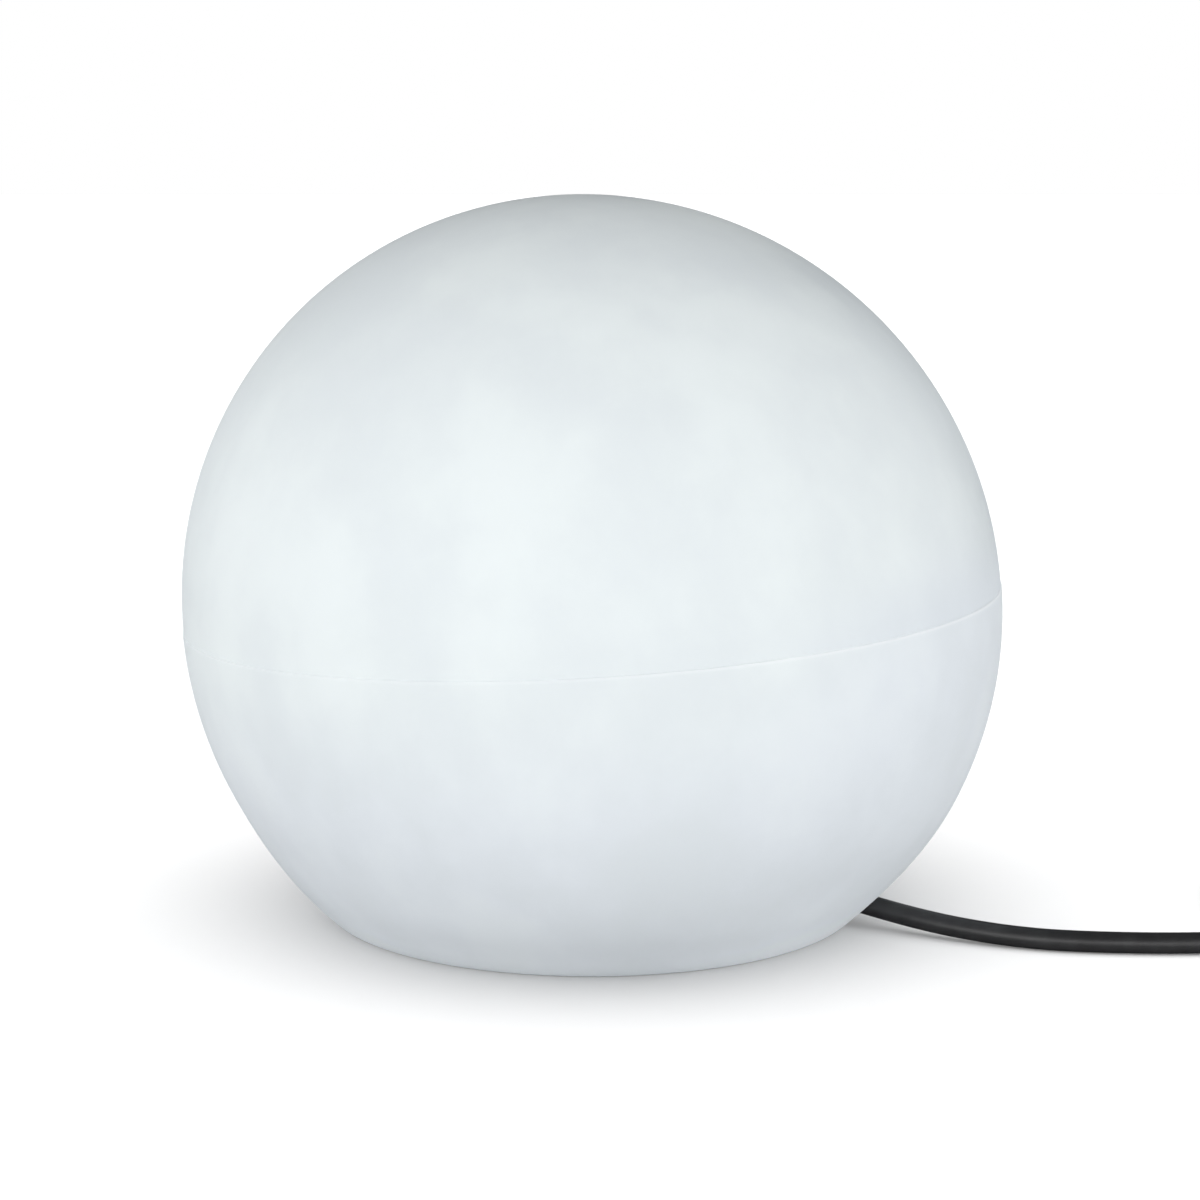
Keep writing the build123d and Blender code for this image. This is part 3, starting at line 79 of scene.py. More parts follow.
# --- shader maths ---
class Signal:
    """One socket of a material, usable in Python expressions on values."""

    def __init__(self, paint: "Paint", socket: bpy.types.NodeSocket) -> None:
        """Wrap a socket of a paint's tree."""
        self.paint = paint
        self.socket = socket

    def math(self, operation: str, *values: "Value") -> "Signal":
        """Add a Math node on this signal and further values."""
        return self.paint.math(operation, self, *values)

    def __add__(self, other: "Value") -> "Signal":
        """self + other."""
        return self.paint.math("ADD", self, other)

    def __radd__(self, other: "Value") -> "Signal":
        """other + self."""
        return self.paint.math("ADD", other, self)

    def __sub__(self, other: "Value") -> "Signal":
        """self - other."""
        return self.paint.math("SUBTRACT", self, other)

    def __rsub__(self, other: "Value") -> "Signal":
        """other - self."""
        return self.paint.math("SUBTRACT", other, self)

    def __mul__(self, other: "Value") -> "Signal":
        """self * other."""
        return self.paint.math("MULTIPLY", self, other)

    def __rmul__(self, other: "Value") -> "Signal":
        """other * self."""
        return self.paint.math("MULTIPLY", other, self)

    def __pow__(self, other: "Value") -> "Signal":
        """self to the power of other."""
        return self.paint.math("POWER", self, other)


Value = Union[Signal, float]
Tone = Union[Signal, Color]


class Paint:
    """A node tree being filled: the one place where nodes are made and linked."""

    def __init__(self, tree: bpy.types.NodeTree) -> None:
        """Start from an empty tree."""
        self.tree = tree
        tree.nodes.clear()

    def node(self, kind: str, settings: Settings = None, sockets: Settings = None) -> bpy.types.Node:
        """Add a node.

        Args:
            kind: The node's type name.
            settings: Attributes, set first; "stops" fills a colour ramp.
            sockets: Values or signals by input name or index.

        Returns:
            The new node.
        """
        node = self.tree.nodes.new(kind)
        for name, value in (settings or {}).items():
            if name == "stops":
                self.fill_ramp(node.color_ramp, value)
            else:
                setattr(node, name, value)
        for key, value in (sockets or {}).items():
            target = node.inputs[key]
            if isinstance(value, Signal):
                self.tree.links.new(value.socket, target)
            elif isinstance(value, bpy.types.NodeSocket):
                self.tree.links.new(value, target)
            else:
                target.default_value = value
        return node

    def signal(self, kind: str, output: Union[str, int], settings: Settings = None,
               sockets: Settings = None) -> Signal:
        """Add a node and wrap one of its outputs.

        Args:
            kind: The node's type name.
            output: The output's name or index.
            settings: As in node.
            sockets: As in node.

        Returns:
            The output.
        """
        return Signal(self, self.node(kind, settings, sockets).outputs[output])

    @staticmethod
    def fill_ramp(ramp: bpy.types.ColorRamp, stops: Sequence[tuple[float, float]]) -> None:
        """Set a ramp's stops.

        Args:
            ramp: The node's ramp.
            stops: (position, grey value) pairs.
        """
        while len(ramp.elements) > 1:
            ramp.elements.remove(ramp.elements[-1])
        for number, (position, value) in enumerate(stops):
            element = ramp.elements[0] if number == 0 else ramp.elements.new(position)
            element.position = position
            element.color = (value, value, value, 1.0)

    def math(self, operation: str, *values: Value) -> Signal:
        """Add a Math node on values and signals."""
        return self.signal("ShaderNodeMath", 0, {"operation": operation}, dict(enumerate(values)))

    def mix(self, share: Value, first: Tone, second: Tone) -> Signal:
        """Mix two colours.

        Args:
            share: How much of the second colour there is, 0 to 1.
            first: The colour at share 0.
            second: The colour at share 1.

        Returns:
            The mixed colour.
        """
        low, high = (tone if isinstance(tone, Signal) else (*tone, 1.0) for tone in (first, second))
        return self.signal("ShaderNodeMix", 2, {"data_type": "RGBA"}, {0: share, 6: low, 7: high})

    def place(self) -> Signal:
        """Where a point lies in the piece's own frame, in metres."""
        return self.signal("ShaderNodeTexCoord", "Object")

    def axes(self, vector: Signal) -> list[Signal]:
        """A vector's three numbers."""
        node = self.node("ShaderNodeSeparateXYZ", sockets={0: vector})
        return [Signal(self, output) for output in node.outputs]

    def scaled(self, vector: Signal, scale: tuple[float, float, float]) -> Signal:
        """A vector times a fixed scale, axis by axis."""
        sockets = {0: vector, 1: scale}
        return self.signal("ShaderNodeVectorMath", 0, {"operation": "MULTIPLY"}, sockets)

    def noise(self, vector: Signal, size: float, detail: float = 3.0,
              roughness: float = 0.5) -> Signal:
        """Cloud noise, 0 to 1.

        Args:
            vector: Where it is read.
            size: About the size of its lumps, in metres.
            detail: How many finer layers it has.
            roughness: How strong the finer layers are.

        Returns:
            The noise.
        """
        sockets = {"Vector": vector, "Scale": 1.0 / size, "Detail": detail, "Roughness": roughness}
        return self.signal("ShaderNodeTexNoise", 0, None, sockets)

    def ramp(self, value: Signal, low: float, high: float) -> Signal:
        """A smooth step.

        Args:
            value: What is measured.
            low: Where the step starts, with 0 below.
            high: Where it ends, with 1 above.

        Returns:
            The step, 0 to 1.
        """
        sockets = {0: value, 1: low, 2: high, 3: 0.0, 4: 1.0}
        return self.signal("ShaderNodeMapRange", 0, {"interpolation_type": "SMOOTHSTEP"}, sockets)

    def bump(self, height: Signal, distance: float, edge: float = 0.0) -> Signal:
        """A normal bent by a height field.

        Args:
            height: The field, 0 to 1.
            distance: What its full scale stands for, in metres.
            edge: Radius to which sharp edges look rounded, in metres.

        Returns:
            The normal.
        """
        sockets = {"Distance": distance, "Height": height}
        if edge:
            sockets["Normal"] = self.rounded(edge)
        return self.signal("ShaderNodeBump", 0, None, sockets)

    def rounded(self, edge: float) -> Signal:
        """The normal as if edges were rounded to this radius."""
        return self.signal("ShaderNodeBevel", 0, {"samples": 4}, {"Radius": edge})

    def worn(self, edge: float) -> Signal:
        """Where handling wears the surface.

        Args:
            edge: How far from a sharp edge the wear reaches, in metres.

        Returns:
            1 along sharp edges and 0 on flats.
        """
        true = self.signal("ShaderNodeNewGeometry", "Normal")
        sockets = {0: true, 1: self.rounded(edge)}
        along = self.signal("ShaderNodeVectorMath", 1, {"operation": "DOT_PRODUCT"}, sockets)
        return 1.0 - self.ramp(along, 0.82, 0.985)


@dataclass(frozen=True)
class Finish:
    """What every finish shares: one material, made once."""

    name: str

    def material(self) -> bpy.types.Material:
        """The finish's material, built on its first use.

        Returns:
            The material.
        """
        made = bpy.data.materials.get(self.name)
        if made is None:
            made = bpy.data.materials.new(self.name)
            made.use_nodes = True
            paint = Paint(made.node_tree)
            shader = paint.node("ShaderNodeBsdfPrincipled")
            self.dress(paint, shader)
            paint.node("ShaderNodeOutputMaterial", sockets={0: shader.outputs[0]})
        return made

    def dress(self, paint: Paint, shader: bpy.types.Node) -> None:
        """Set the shader's sockets; each finish does it in its own way.

        Args:
            paint: The material's tree.
            shader: Its Principled shader.
        """
        raise NotImplementedError

    @staticmethod
    def feed(paint: Paint, shader: bpy.types.Node, sockets: dict) -> None:
        """Link or set several of the shader's sockets.

        Args:
            paint: The material's tree.
            shader: Its Principled shader.
            sockets: Values or signals by input name.
        """
        for name, value in sockets.items():
            if isinstance(value, Signal):
                paint.tree.links.new(value.socket, shader.inputs[name])
            else:
                shader.inputs[name].default_value = value


@dataclass(frozen=True)
class Moulded(Finish):
    """Moulded plastic or rubber: a fine grain, clouded gloss and a little dust."""

    color: Color = (0.05, 0.05, 0.05)
    roughness: float = 0.5
    grain: float = 0.5 * MM
    grain_depth: float = 0.02 * MM
    cloud: float = 18 * MM
    shift: float = 0.12
    dust: float = 0.0
    specular: float = 0.5
    edge: float = 0.4 * MM
    wear: float = 0.10
    dust_color: Color = (0.34, 0.32, 0.29)

    def dress(self, paint: Paint, shader: bpy.types.Node) -> None:
        """Grain as bump, clouds in colour and gloss, dust where the surface faces up.

        Args:
            paint: The material's tree.
            shader: Its Principled shader.
        """
        place = paint.place()
        clouds = paint.noise(place, self.cloud, 4.0)
        specks = paint.noise(place, self.grain * 2.4, 2.0)
        darker = tuple(value * (1.0 - self.shift) for value in self.color)
        lighter = tuple(min(value * (1.0 + self.shift) + 0.004, 1.0) for value in self.color)
        color = paint.mix(clouds * 0.7 + specks * 0.3, darker, lighter)
        if self.dust:
            up = paint.axes(paint.signal("ShaderNodeNewGeometry", "Normal"))[2]
            drifts = paint.ramp(paint.noise(place, self.cloud * 0.6, 6.0, 0.7), 0.42, 0.7)
            color = paint.mix(paint.ramp(up, 0.2, 1.0) * drifts * self.dust, color, self.dust_color)
        worn = paint.worn(self.edge) * specks * self.wear
        rubbed = tuple(min(value * 1.6 + 0.03, 1.0) for value in self.color)
        color = paint.mix(worn * 2.0, color, rubbed)
        grain = paint.noise(place, self.grain, 3.0, 0.6)
        self.feed(paint, shader, {
            "Base Color": color,
            "Roughness": (clouds - 0.5) * 0.16 + (specks - 0.5) * 0.1 - worn + self.roughness,
            "Specular IOR Level": self.specular,
            "Normal": paint.bump(grain, self.grain_depth, self.edge),
        })


@dataclass(frozen=True)
class Plated(Finish):
    """Bare or plated metal with fine turning lines and dull spots."""

    color: Color = (0.6, 0.6, 0.6)
    tarnish: Color = (0.3, 0.3, 0.3)
    roughness: float = 0.25
    lines: tuple[float, float, float] = (1.0, 1.0, 8.0)
    line_width: float = 1.6 * MM
    line_depth: float = 0.012 * MM
    spot: float = 4.5 * MM
    edge: float = 0.15 * MM

    def dress(self, paint: Paint, shader: bpy.types.Node) -> None:
        """Stretched noise for the tool's lines, clouds for the dull spots.

        Args:
            paint: The material's tree.
            shader: Its Principled shader.
        """
        place = paint.place()
        turned = paint.noise(paint.scaled(place, self.lines), self.line_width, 4.0, 0.6)
        spots = paint.ramp(paint.noise(place, self.spot, 6.0, 0.65), 0.5, 0.75)
        self.feed(paint, shader, {
            "Base Color": paint.mix(spots * 0.55, self.color, self.tarnish),
            "Metallic": 1.0,
            "Roughness": spots * 0.22 + (turned - 0.5) * 0.2 + self.roughness,
            "Normal": paint.bump(turned, self.line_depth, self.edge),
        })


@dataclass(frozen=True)
class GlobePlastic(Finish):
    """Translucent white of the rotationally moulded globe, clouded by its uneven wall."""

    above: Color = (0.800, 0.855, 0.868)
    below: Color = (0.800, 0.848, 0.900)
    thin: Color = (0.840, 0.895, 0.905)
    thick: Color = (0.735, 0.785, 0.815)
    # Painted shade near the outline at the shoulders.
    shoulder_shade: Color = (0.48, 0.53, 0.57)
    band: Color = (0.68, 0.73, 0.79)
    # Painted shadow in the groove over the parting line.
    groove: Color = (0.47, 0.52, 0.56)
    # Painted highlight on the ledge under the parting line.
    ledge_highlight: Color = (0.93, 0.96, 0.98)
    # Painted light: the glow of the rim and right flank, in place of light thrown back by the floor.
    rim_light: Color = (0.93, 0.98, 1.0)
    rim_glow: float = 0.10
    seam_centre_z: float = 115 * MM
    broad_cloud: float = 48 * MM
    fine_cloud: float = 17 * MM
    peel: float = 2.4 * MM
    peel_depth: float = 0.03 * MM

    def clouds(self, paint: Paint, place: Signal, x: Signal, over: Signal) -> Signal:
        """Greenish white above, bluer below, patched by the uneven wall, with painted shade at the
        shoulders.

        Args:
            paint: The material's tree.
            place: Where the point lies.
            x: Its place from left to right.
            over: Its height over the parting line.

        Returns:
            The colour.
        """
        bluer = paint.ramp(x, 35 * MM, 125 * MM) * 42 * MM
        color = paint.mix(paint.ramp(over - bluer, -62 * MM, 2 * MM), self.below, self.above)
        # Painted shade: a darker belt near the outline at the shoulders, above the parting line and
        # stronger to the right.
        reach = (x * x + over * over) ** 0.5
        side = paint.ramp(reach, 124 * MM, 149 * MM) * paint.ramp(over, -2 * MM, 22 * MM)
        side = side * (paint.ramp(x, -40 * MM, 60 * MM) * 0.45 + 0.2)
        side = side * (1.0 - paint.ramp(over, 112 * MM, 138 * MM))
        color = paint.mix(side, color, self.shoulder_shade)
        stretched = paint.scaled(place, (1.0, 1.0, 0.8))
        broad = paint.noise(stretched, self.broad_cloud, 4.0, 0.5)
        fine = paint.noise(stretched, self.fine_cloud, 5.0, 0.6)
        patches = paint.ramp(broad * 0.82 + fine * 0.18, 0.34, 0.68)
        color = paint.mix(patches * 0.66, color, self.thick)
        return paint.mix((1.0 - paint.ramp(broad, 0.3, 0.52)) * 0.35, color, self.thin)

    def seam(self, paint: Paint, x: Signal, over: Signal, color: Signal) -> Signal:
        """The parting line: a painted highlight along the ledge, a painted shadow in the groove and a
        duller band, all more to the right.

        Args:
            paint: The material's tree.
            x: The point's place from left to right.
            over: Its height over the parting line.
            color: The colour without the line.

        Returns:
            The colour with it.
        """
        away = over.math("ABSOLUTE")
        right = paint.ramp(x, -60 * MM, 130 * MM)
        # Painted shadow: a dark line just above the step, growing to the right.
        groove = 1.0 - paint.ramp(away, 0.3 * MM, 1.0 * MM)
        groove = groove * paint.ramp(over, -0.1 * MM, 0.3 * MM) * (right ** 3.0 * 0.12)
        # Painted highlight: a bright line just below the step.
        ledge_highlight = 1.0 - paint.ramp(away, 0.4 * MM, 1.5 * MM)
        ledge_highlight = ledge_highlight * (1.0 - paint.ramp(over, -0.3 * MM, 0.1 * MM)) * (right * 0.26 + 0.13)
        band = paint.ramp(over, 0.0, 1.0 * MM) * (1.0 - paint.ramp(over, 2 * MM, 26 * MM))
        band = band * right * right
        color = paint.mix(band * 0.34, color, self.band)
        color = paint.mix(groove, color, self.groove)
        return paint.mix(ledge_highlight, color, self.ledge_highlight)

    def glow(self, paint: Paint, x: Signal, z: Signal) -> Signal:
        """Painted light: a glow on the rim and the right flank, standing in for the light that the
        floor throws back.

        Args:
            paint: The material's tree.
            x: The point's place from left to right.
            z: Its height.

        Returns:
            The light's share, 0 to 1.
        """
        low = 1.0 - paint.ramp(z, 4 * MM, 42 * MM)
        aside = paint.ramp(x, 15 * MM, 85 * MM) * 1.3 + paint.ramp(x * -1.0, 20 * MM, 90 * MM) * 0.6
        foot = 1.0 - paint.ramp(z, 1 * MM, 16 * MM)
        flank = (1.0 - paint.ramp(z, 25 * MM, 112 * MM)) * paint.ramp(x, 80 * MM, 138 * MM)
        return (low * aside + foot * 0.9 + flank * 0.8) * self.rim_glow

    def dress(self, paint: Paint, shader: bpy.types.Node) -> None:
        """Wall clouds, painted shade at the shoulders, the change of tone at the parting line with a
        painted shadow and highlight, a painted glow at the rim, fine orange peel.

        Args:
            paint: The material's tree.
            shader: Its Principled shader.
        """
        place = paint.place()
        x, _, z = paint.axes(place)
        over = (z - self.seam_centre_z - x * tan(SEAM_TILT)) * cos(SEAM_TILT)
        color = self.seam(paint, x, over, self.clouds(paint, place, x, over))
        peel = paint.noise(place, self.peel, 3.0, 0.55) * 0.7
        peel = peel + paint.noise(place, 9 * MM, 2.0) * 0.3
        gloss = paint.noise(place, 20 * MM, 4.0, 0.6)
        self.feed(paint, shader, {
            "Base Color": color,
            # Painted light: emission on the unlit globe, brightest at the foot, the low rim and the
            # right flank.
            "Emission Color": paint.mix(self.glow(paint, x, z), (0.0, 0.0, 0.0), self.rim_light),
            "Emission Strength": 1.0,
            "Roughness": (gloss - 0.5) * 0.2 + 0.55,
            "Specular IOR Level": 0.12,
            "Normal": paint.bump(peel, self.peel_depth),
        })


@dataclass(frozen=True)
class CableSheath(Finish):
    """Black rubber sheath of the lead: satin, with a fine drawn grain and a little bloom."""

    color: Color = (0.010, 0.010, 0.011)
    bloom: Color = (0.040, 0.040, 0.042)
    patch: float = 14 * MM
    mark: float = 5 * MM
    grain: float = 0.7 * MM
    grain_depth: float = 0.05 * MM

    def dress(self, paint: Paint, shader: bpy.types.Node) -> None:
        """Fine grain, patches of bloom and handling marks.

        Args:
            paint: The material's tree.
            shader: Its Principled shader.
        """
        place = paint.place()
        clouds = paint.noise(place, self.patch, 5.0, 0.6)
        grain = paint.noise(place, self.grain, 4.0, 0.6)
        marks = paint.ramp(paint.noise(place, self.mark, 6.0, 0.7), 0.56, 0.7)
        bloomed = paint.ramp(clouds, 0.35, 0.75) * 0.5 + grain * 0.2
        self.feed(paint, shader, {
            "Base Color": paint.mix(bloomed, self.color, self.bloom),
            "Roughness": marks * 0.12 + (grain - 0.5) * 0.12 + 0.42,
            "Specular IOR Level": 0.5,
            "Normal": paint.bump(grain, self.grain_depth),
        })


@dataclass(frozen=True)
class WovenStrap(Finish):
    """Woven hook-and-loop strap."""

    color: Color = (0.03, 0.03, 0.032)
    worn_color: Color = (0.096, 0.096, 0.1024)
    thread: float = 0.55 * MM
    fuzz: float = 0.5 * MM
    weave_depth: float = 0.12 * MM

    def dress(self, paint: Paint, shader: bpy.types.Node) -> None:
        """Crossed waves for the weave, fuzz in colour and bump.

        Args:
            paint: The material's tree.
            shader: Its Principled shader.
        """
        place = paint.place()
        x, y, z = paint.axes(place)
        turn = 2 * pi / self.thread
        weave = ((x + z) * turn).math("SINE") * ((y - z) * turn).math("SINE") * 0.5 + 0.5
        fuzz = paint.noise(place, self.fuzz, 4.0, 0.7)
        self.feed(paint, shader, {
            "Base Color": paint.mix(weave * 0.6 + fuzz * 0.4, self.color, self.worn_color),
            "Roughness": fuzz * 0.1 + 0.82,
            "Specular IOR Level": 0.2,
            "Sheen Weight": 0.25,
            "Normal": paint.bump(weave * 0.7 + fuzz * 0.3, self.weave_depth),
        })


GLOBE_PLASTIC = GlobePlastic("globe_moulding_white")
SHEATH = CableSheath("cable_sheath_black")
STRAP = WovenStrap("woven_strap_black")
BASE_MOULDING = Moulded("base_moulding_charcoal", (0.030, 0.030, 0.033),
                        0.48, 0.45 * MM, 0.03 * MM, dust=0.12)
SEAL_RUBBER = Moulded("seal_rubber_black", (0.018, 0.018, 0.019),
                      0.72, 0.35 * MM, 0.02 * MM, dust=0.10)
GLAND_NYLON = Moulded("gland_nylon_black", (0.022, 0.022, 0.024), 0.38, 0.6 * MM, 0.012 * MM)
PLUG_RUBBER = Moulded("plug_rubber_black", (0.026, 0.026, 0.028),
                      0.55, 0.5 * MM, 0.035 * MM, dust=0.06)
HOLDER_BAKELITE = Moulded("lampholder_black", (0.016, 0.015, 0.015), 0.24, 1.2 * MM, 0.008 * MM)
STEATITE = Moulded("steatite_cream", (0.62, 0.59, 0.52), 0.62, 0.4 * MM, 0.03 * MM, shift=0.06)
TERMINAL_NYLON = Moulded("terminal_nylon_cream", (0.66, 0.62, 0.53),
                         0.45, 0.6 * MM, 0.012 * MM, shift=0.05)
CORE_BROWN = Moulded("core_brown", (0.10, 0.035, 0.015), 0.42, 0.8 * MM, 0.01 * MM)
CORE_BLUE = Moulded("core_blue", (0.015, 0.055, 0.22), 0.42, 0.8 * MM, 0.01 * MM)
INSULATOR_GLASS = Moulded("insulator_black_glass", (0.008, 0.007, 0.008), 0.12, 1.5 * MM, 0.01 * MM)
BULB_SATIN = Moulded("bulb_housing_white", (0.74, 0.74, 0.73),
                     0.42, 0.6 * MM, 0.012 * MM, shift=0.02)
OPAL = Moulded("bulb_opal_white", (0.82, 0.82, 0.80), 0.34, 1.0 * MM, 0.006 * MM, shift=0.015)
LAMP_BOARD = Moulded("led_board_white", (0.70, 0.71, 0.69), 0.36, 0.7 * MM, 0.01 * MM, shift=0.05)
NICKEL = Plated("nickel_plate", (0.62, 0.60, 0.56), (0.32, 0.29, 0.25), 0.24)
ZINC = Plated("zinc_plated_steel", (0.55, 0.56, 0.57), (0.30, 0.30, 0.30), 0.34)
BRASS = Plated("turned_brass", (0.66, 0.47, 0.20), (0.34, 0.22, 0.10), 0.28)


# --- forms ---
def linked(name: str, data: bpy.types.ID) -> bpy.types.Object:
    """Put data into the scene as an object.

    Args:
        name: The object's name.
        data: Its mesh, curve, light or camera.

    Returns:
        The object.
    """
    made = bpy.data.objects.new(name, data)
    bpy.context.scene.collection.objects.link(made)
    return made


def smoothed(piece: bpy.types.Object) -> bpy.types.Object:
    """Shade a piece smooth but for its sharp edges, and give it back.

    Args:
        piece: The piece.

    Returns:
        The same piece.
    """
    piece.data.shade_smooth()
    piece.data.set_sharp_from_angle(angle=SHARP_ANGLE)
    return piece


def in_metres(section: Corners) -> Profile:
    """A section that is given in millimetres, in metres."""
    return [(radius * MM, height * MM) for radius, height in section]


def soften(corners: Corners, steps: int = 4) -> Profile:
    """Round the corners of a profile.

    Args:
        corners: The profile's corners.
        steps: How many points each rounding gets, less one.

    Returns:
        The profile's points.
    """
    points: Profile = []
    for number, corner in enumerate(corners):
        here = Vector(corner[:2])
        inside = 0 < number < len(corners) - 1
        if len(corner) < 3 or not inside:
            points.append((here.x, here.y))
            continue
        before = Vector(corners[number - 1][:2]) - here
        after = Vector(corners[number + 1][:2]) - here
        reach = min(corner[2], before.length * MOST_OF_SIDE, after.length * MOST_OF_SIDE)
        start, end = here + before.normalized() * reach, here + after.normalized() * reach
        for step in range(steps + 1):
            share = step / steps
            point = start * (1 - share) ** 2 + here * 2 * share * (1 - share) + end * share ** 2
            points.append((point.x, point.y))
    return points


class Form:
    """Points and faces of one piece, before it becomes an object."""

    def __init__(self) -> None:
        """Start empty."""
        self.points: list[Vector] = []
        self.faces: list[tuple[int, ...]] = []

    @classmethod
    def loft(cls, rings: Sequence[Sequence[Vector]], looped: bool = False) -> "Form":
        """A skin through rings of as many points each.

        Args:
            rings: The rings, in order; a ring of one point is a pole.
            looped: The last ring joins the first, and there are no end faces.

        Returns:
            The form.
        """
        form = cls()
        starts = []
        for ring in rings:
            starts.append(len(form.points))
            form.points += ring
        pairs = list(zip(range(len(rings)), range(1, len(rings))))
        if looped:
            pairs.append((len(rings) - 1, 0))
        for low, high in pairs:
            form.stitch(starts[low], len(rings[low]), starts[high], len(rings[high]))
        if not looped:
            for number in (0, len(rings) - 1):
                count = len(rings[number])
                if count > 2:
                    form.faces.append(tuple(range(starts[number], starts[number] + count)))
        return form

    def stitch(self, first: int, first_count: int, second: int, second_count: int) -> None:
        """Join two rings with faces.

        Args:
            first: Where the first ring's points start.
            first_count: How many it has.
            second: Where the second ring's points start.
            second_count: How many it has.
        """
        count = max(first_count, second_count)
        for step in range(count):
            after = (step + 1) % count
            corners = [first + step % first_count, first + after % first_count,
                       second + after % second_count, second + step % second_count]
            self.faces.append(tuple(dict.fromkeys(corners)))

    @classmethod
    def lathe(cls, profile: Profile, segments: int = 96, looped: bool = False,
              shape: Optional[Shape] = None) -> "Form":
        """A round body about Z.

        Args:
            profile: (radius, height) points, in metres.
            segments: Points round each ring.
            looped: The profile closes on itself, as on a tube.
            shape: Changes a point's radius, given its radius, height and angle.

        Returns:
            The form.
        """
        rings = []
        for radius, height in profile:
            if radius < 1e-6:
                rings.append([Vector((0, 0, height))])
                continue
            ring = []
            for step in range(segments):
                angle = 2 * pi * step / segments
                reach = shape(radius, height, angle) if shape else radius
                ring.append(Vector((reach * cos(angle), reach * sin(angle), height)))
            rings.append(ring)
        return cls.loft(rings, looped)

    @classmethod
    def turned(cls, corners: Corners, segments: int = 96, looped: bool = False,
               shape: Optional[Shape] = None) -> "Form":
        """A round body about Z with rounded corners.

        Args:
            corners: The profile's corners, in millimetres.
            segments: As in lathe.
            looped: As in lathe.
            shape: As in lathe.

        Returns:
            The form.
        """
        return cls.lathe(in_metres(soften(corners)), segments, looped, shape)

    @classmethod
    def rod(cls, radius: float, low: float, high: float, segments: int) -> "Form":
        """A plain bar about Z, as a cutting tool.

        Args:
            radius: Its radius, in millimetres.
            low: The height at which it starts.
            high: The height at which it ends.
            segments: Points round it.

        Returns:
            The form.
        """
        section = ((0.0, low), (radius, low), (radius, high), (0.0, high))
        return cls.lathe(in_metres(section), segments)

    @classmethod
    def prism(cls, outline: Corners, levels: Corners) -> "Form":
        """An upright body: an outline at several levels, each drawn in by a share.

        Args:
            outline: (x, y) points.
            levels: (height, scale) pairs.

        Returns:
            The form.
        """
        return cls.loft([[Vector((x * scale, y * scale, height)) for x, y in outline]
                         for height, scale in levels])

    def at(self, place: Matrix) -> "Form":
        """The same form, moved.

        Args:
            place: Where it goes.

        Returns:
            The moved form.
        """
        moved = Form()
        moved.points, moved.faces = [place @ point for point in self.points], list(self.faces)
        return moved

    def __add__(self, other: "Form") -> "Form":
        """Both forms in one.

        Args:
            other: The other form.

        Returns:
            The joined form.
        """
        both = Form()
        shift = len(self.points)
        both.points = self.points + other.points
        both.faces = self.faces + [tuple(index + shift for index in face) for face in other.faces]
        return both

    def copies(self, places: Sequence[Matrix]) -> "Form":
        """Several of the same form.

        Args:
            places: Where each one stands.

        Returns:
            All of them in one form.
        """
        several = Form()
        for place in places:
            several = several + self.at(place)
        return several

    @classmethod
    def of(cls, made: bpy.types.Object) -> "Form":
        """Take an object's mesh back as a form, and drop the object.

        Args:
            made: The object.

        Returns:
            The form.
        """
        form = cls()
        form.points = [vertex.co.copy() for vertex in made.data.vertices]
        form.faces = [tuple(face.vertices) for face in made.data.polygons]
        bpy.data.objects.remove(made)
        return form

    @classmethod
    def box(cls, low: Sequence[float], high: Sequence[float]) -> "Form":
        """A plain block, as a cutting tool.

        Args:
            low: Its lowest corner.
            high: Its highest corner.

        Returns:
            The form.
        """
        outline = [(low[0], low[1]), (high[0], low[1]), (high[0], high[1]), (low[0], high[1])]
        return cls.prism(outline, [(low[2], 1.0), (high[2], 1.0)])

    def piece(self, name: str) -> bpy.types.Object:
        """Make the object, shaded smooth but for its sharp edges.

        Args:
            name: The object's name.

        Returns:
            The object.
        """
        mesh = bpy.data.meshes.new(name)
        mesh.from_pydata([tuple(point) for point in self.points], [], self.faces)
        body = bmesh.new()
        body.from_mesh(mesh)
        bmesh.ops.recalc_face_normals(body, faces=body.faces)
        body.to_mesh(mesh)
        body.free()
        return smoothed(linked(name, mesh))


def deliver(piece: bpy.types.Object, finish: Finish, body: Body, slot: str,
            *nodes: str) -> bpy.types.Object:
    """Dress a piece and set it on its body.

    Args:
        piece: The new object, in place.
        finish: Its finish.
        body: The body it rides on.
        slot: The record's material slot; not used.
        *nodes: The CAD nodes it stands for.

    Returns:
        The piece.
    """
    piece.data.materials.clear()
    piece.data.materials.append(finish.material())
    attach(piece, body.value)
    if nodes:
        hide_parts(*nodes)
    log.info("%s rides on %s", piece.name, body.value)
    return piece


def cut(target: bpy.types.Object, tool: bpy.types.Object,
        operation: str = "DIFFERENCE") -> bpy.types.Object:
    """Apply a boolean of one object on another, and drop the tool.

    Args:
        target: The object that is cut or joined to.
        tool: The object that cuts or joins.
        operation: The boolean's name.

    Returns:
        The target.
    """
    modifier = target.modifiers.new("cut", "BOOLEAN")
    modifier.operation = operation
    modifier.object = tool
    modifier.solver = "MANIFOLD"
    bpy.context.view_layer.update()
    shown = target.evaluated_get(bpy.context.evaluated_depsgraph_get())
    result = bpy.data.meshes.new_from_object(shown)
    target.modifiers.clear()
    target.data = result
    bpy.data.objects.remove(tool)
    return target


def hexagonal(across_flats: float, flat_angle: float = 0.0) -> Shape:
    """A shape for Form.lathe that trims a round body to a hexagon.

    Args:
        across_flats: The hexagon's size, in metres.
        flat_angle: Where the middle of one flat lies.

    Returns:
        The shape callback.
    """
    def trimmed(radius: float, height: float, angle: float) -> float:
        """The radius, no further out than the flat at this angle.

        Args:
            radius: The point's radius.
            height: Its height, which changes nothing.
            angle: Its angle about Z.

        Returns:
            The trimmed radius.
        """
        from_middle = (angle - flat_angle + pi / 6) % (pi / 3) - pi / 6
        return min(radius, across_flats / 2 / cos(from_middle))
    return trimmed


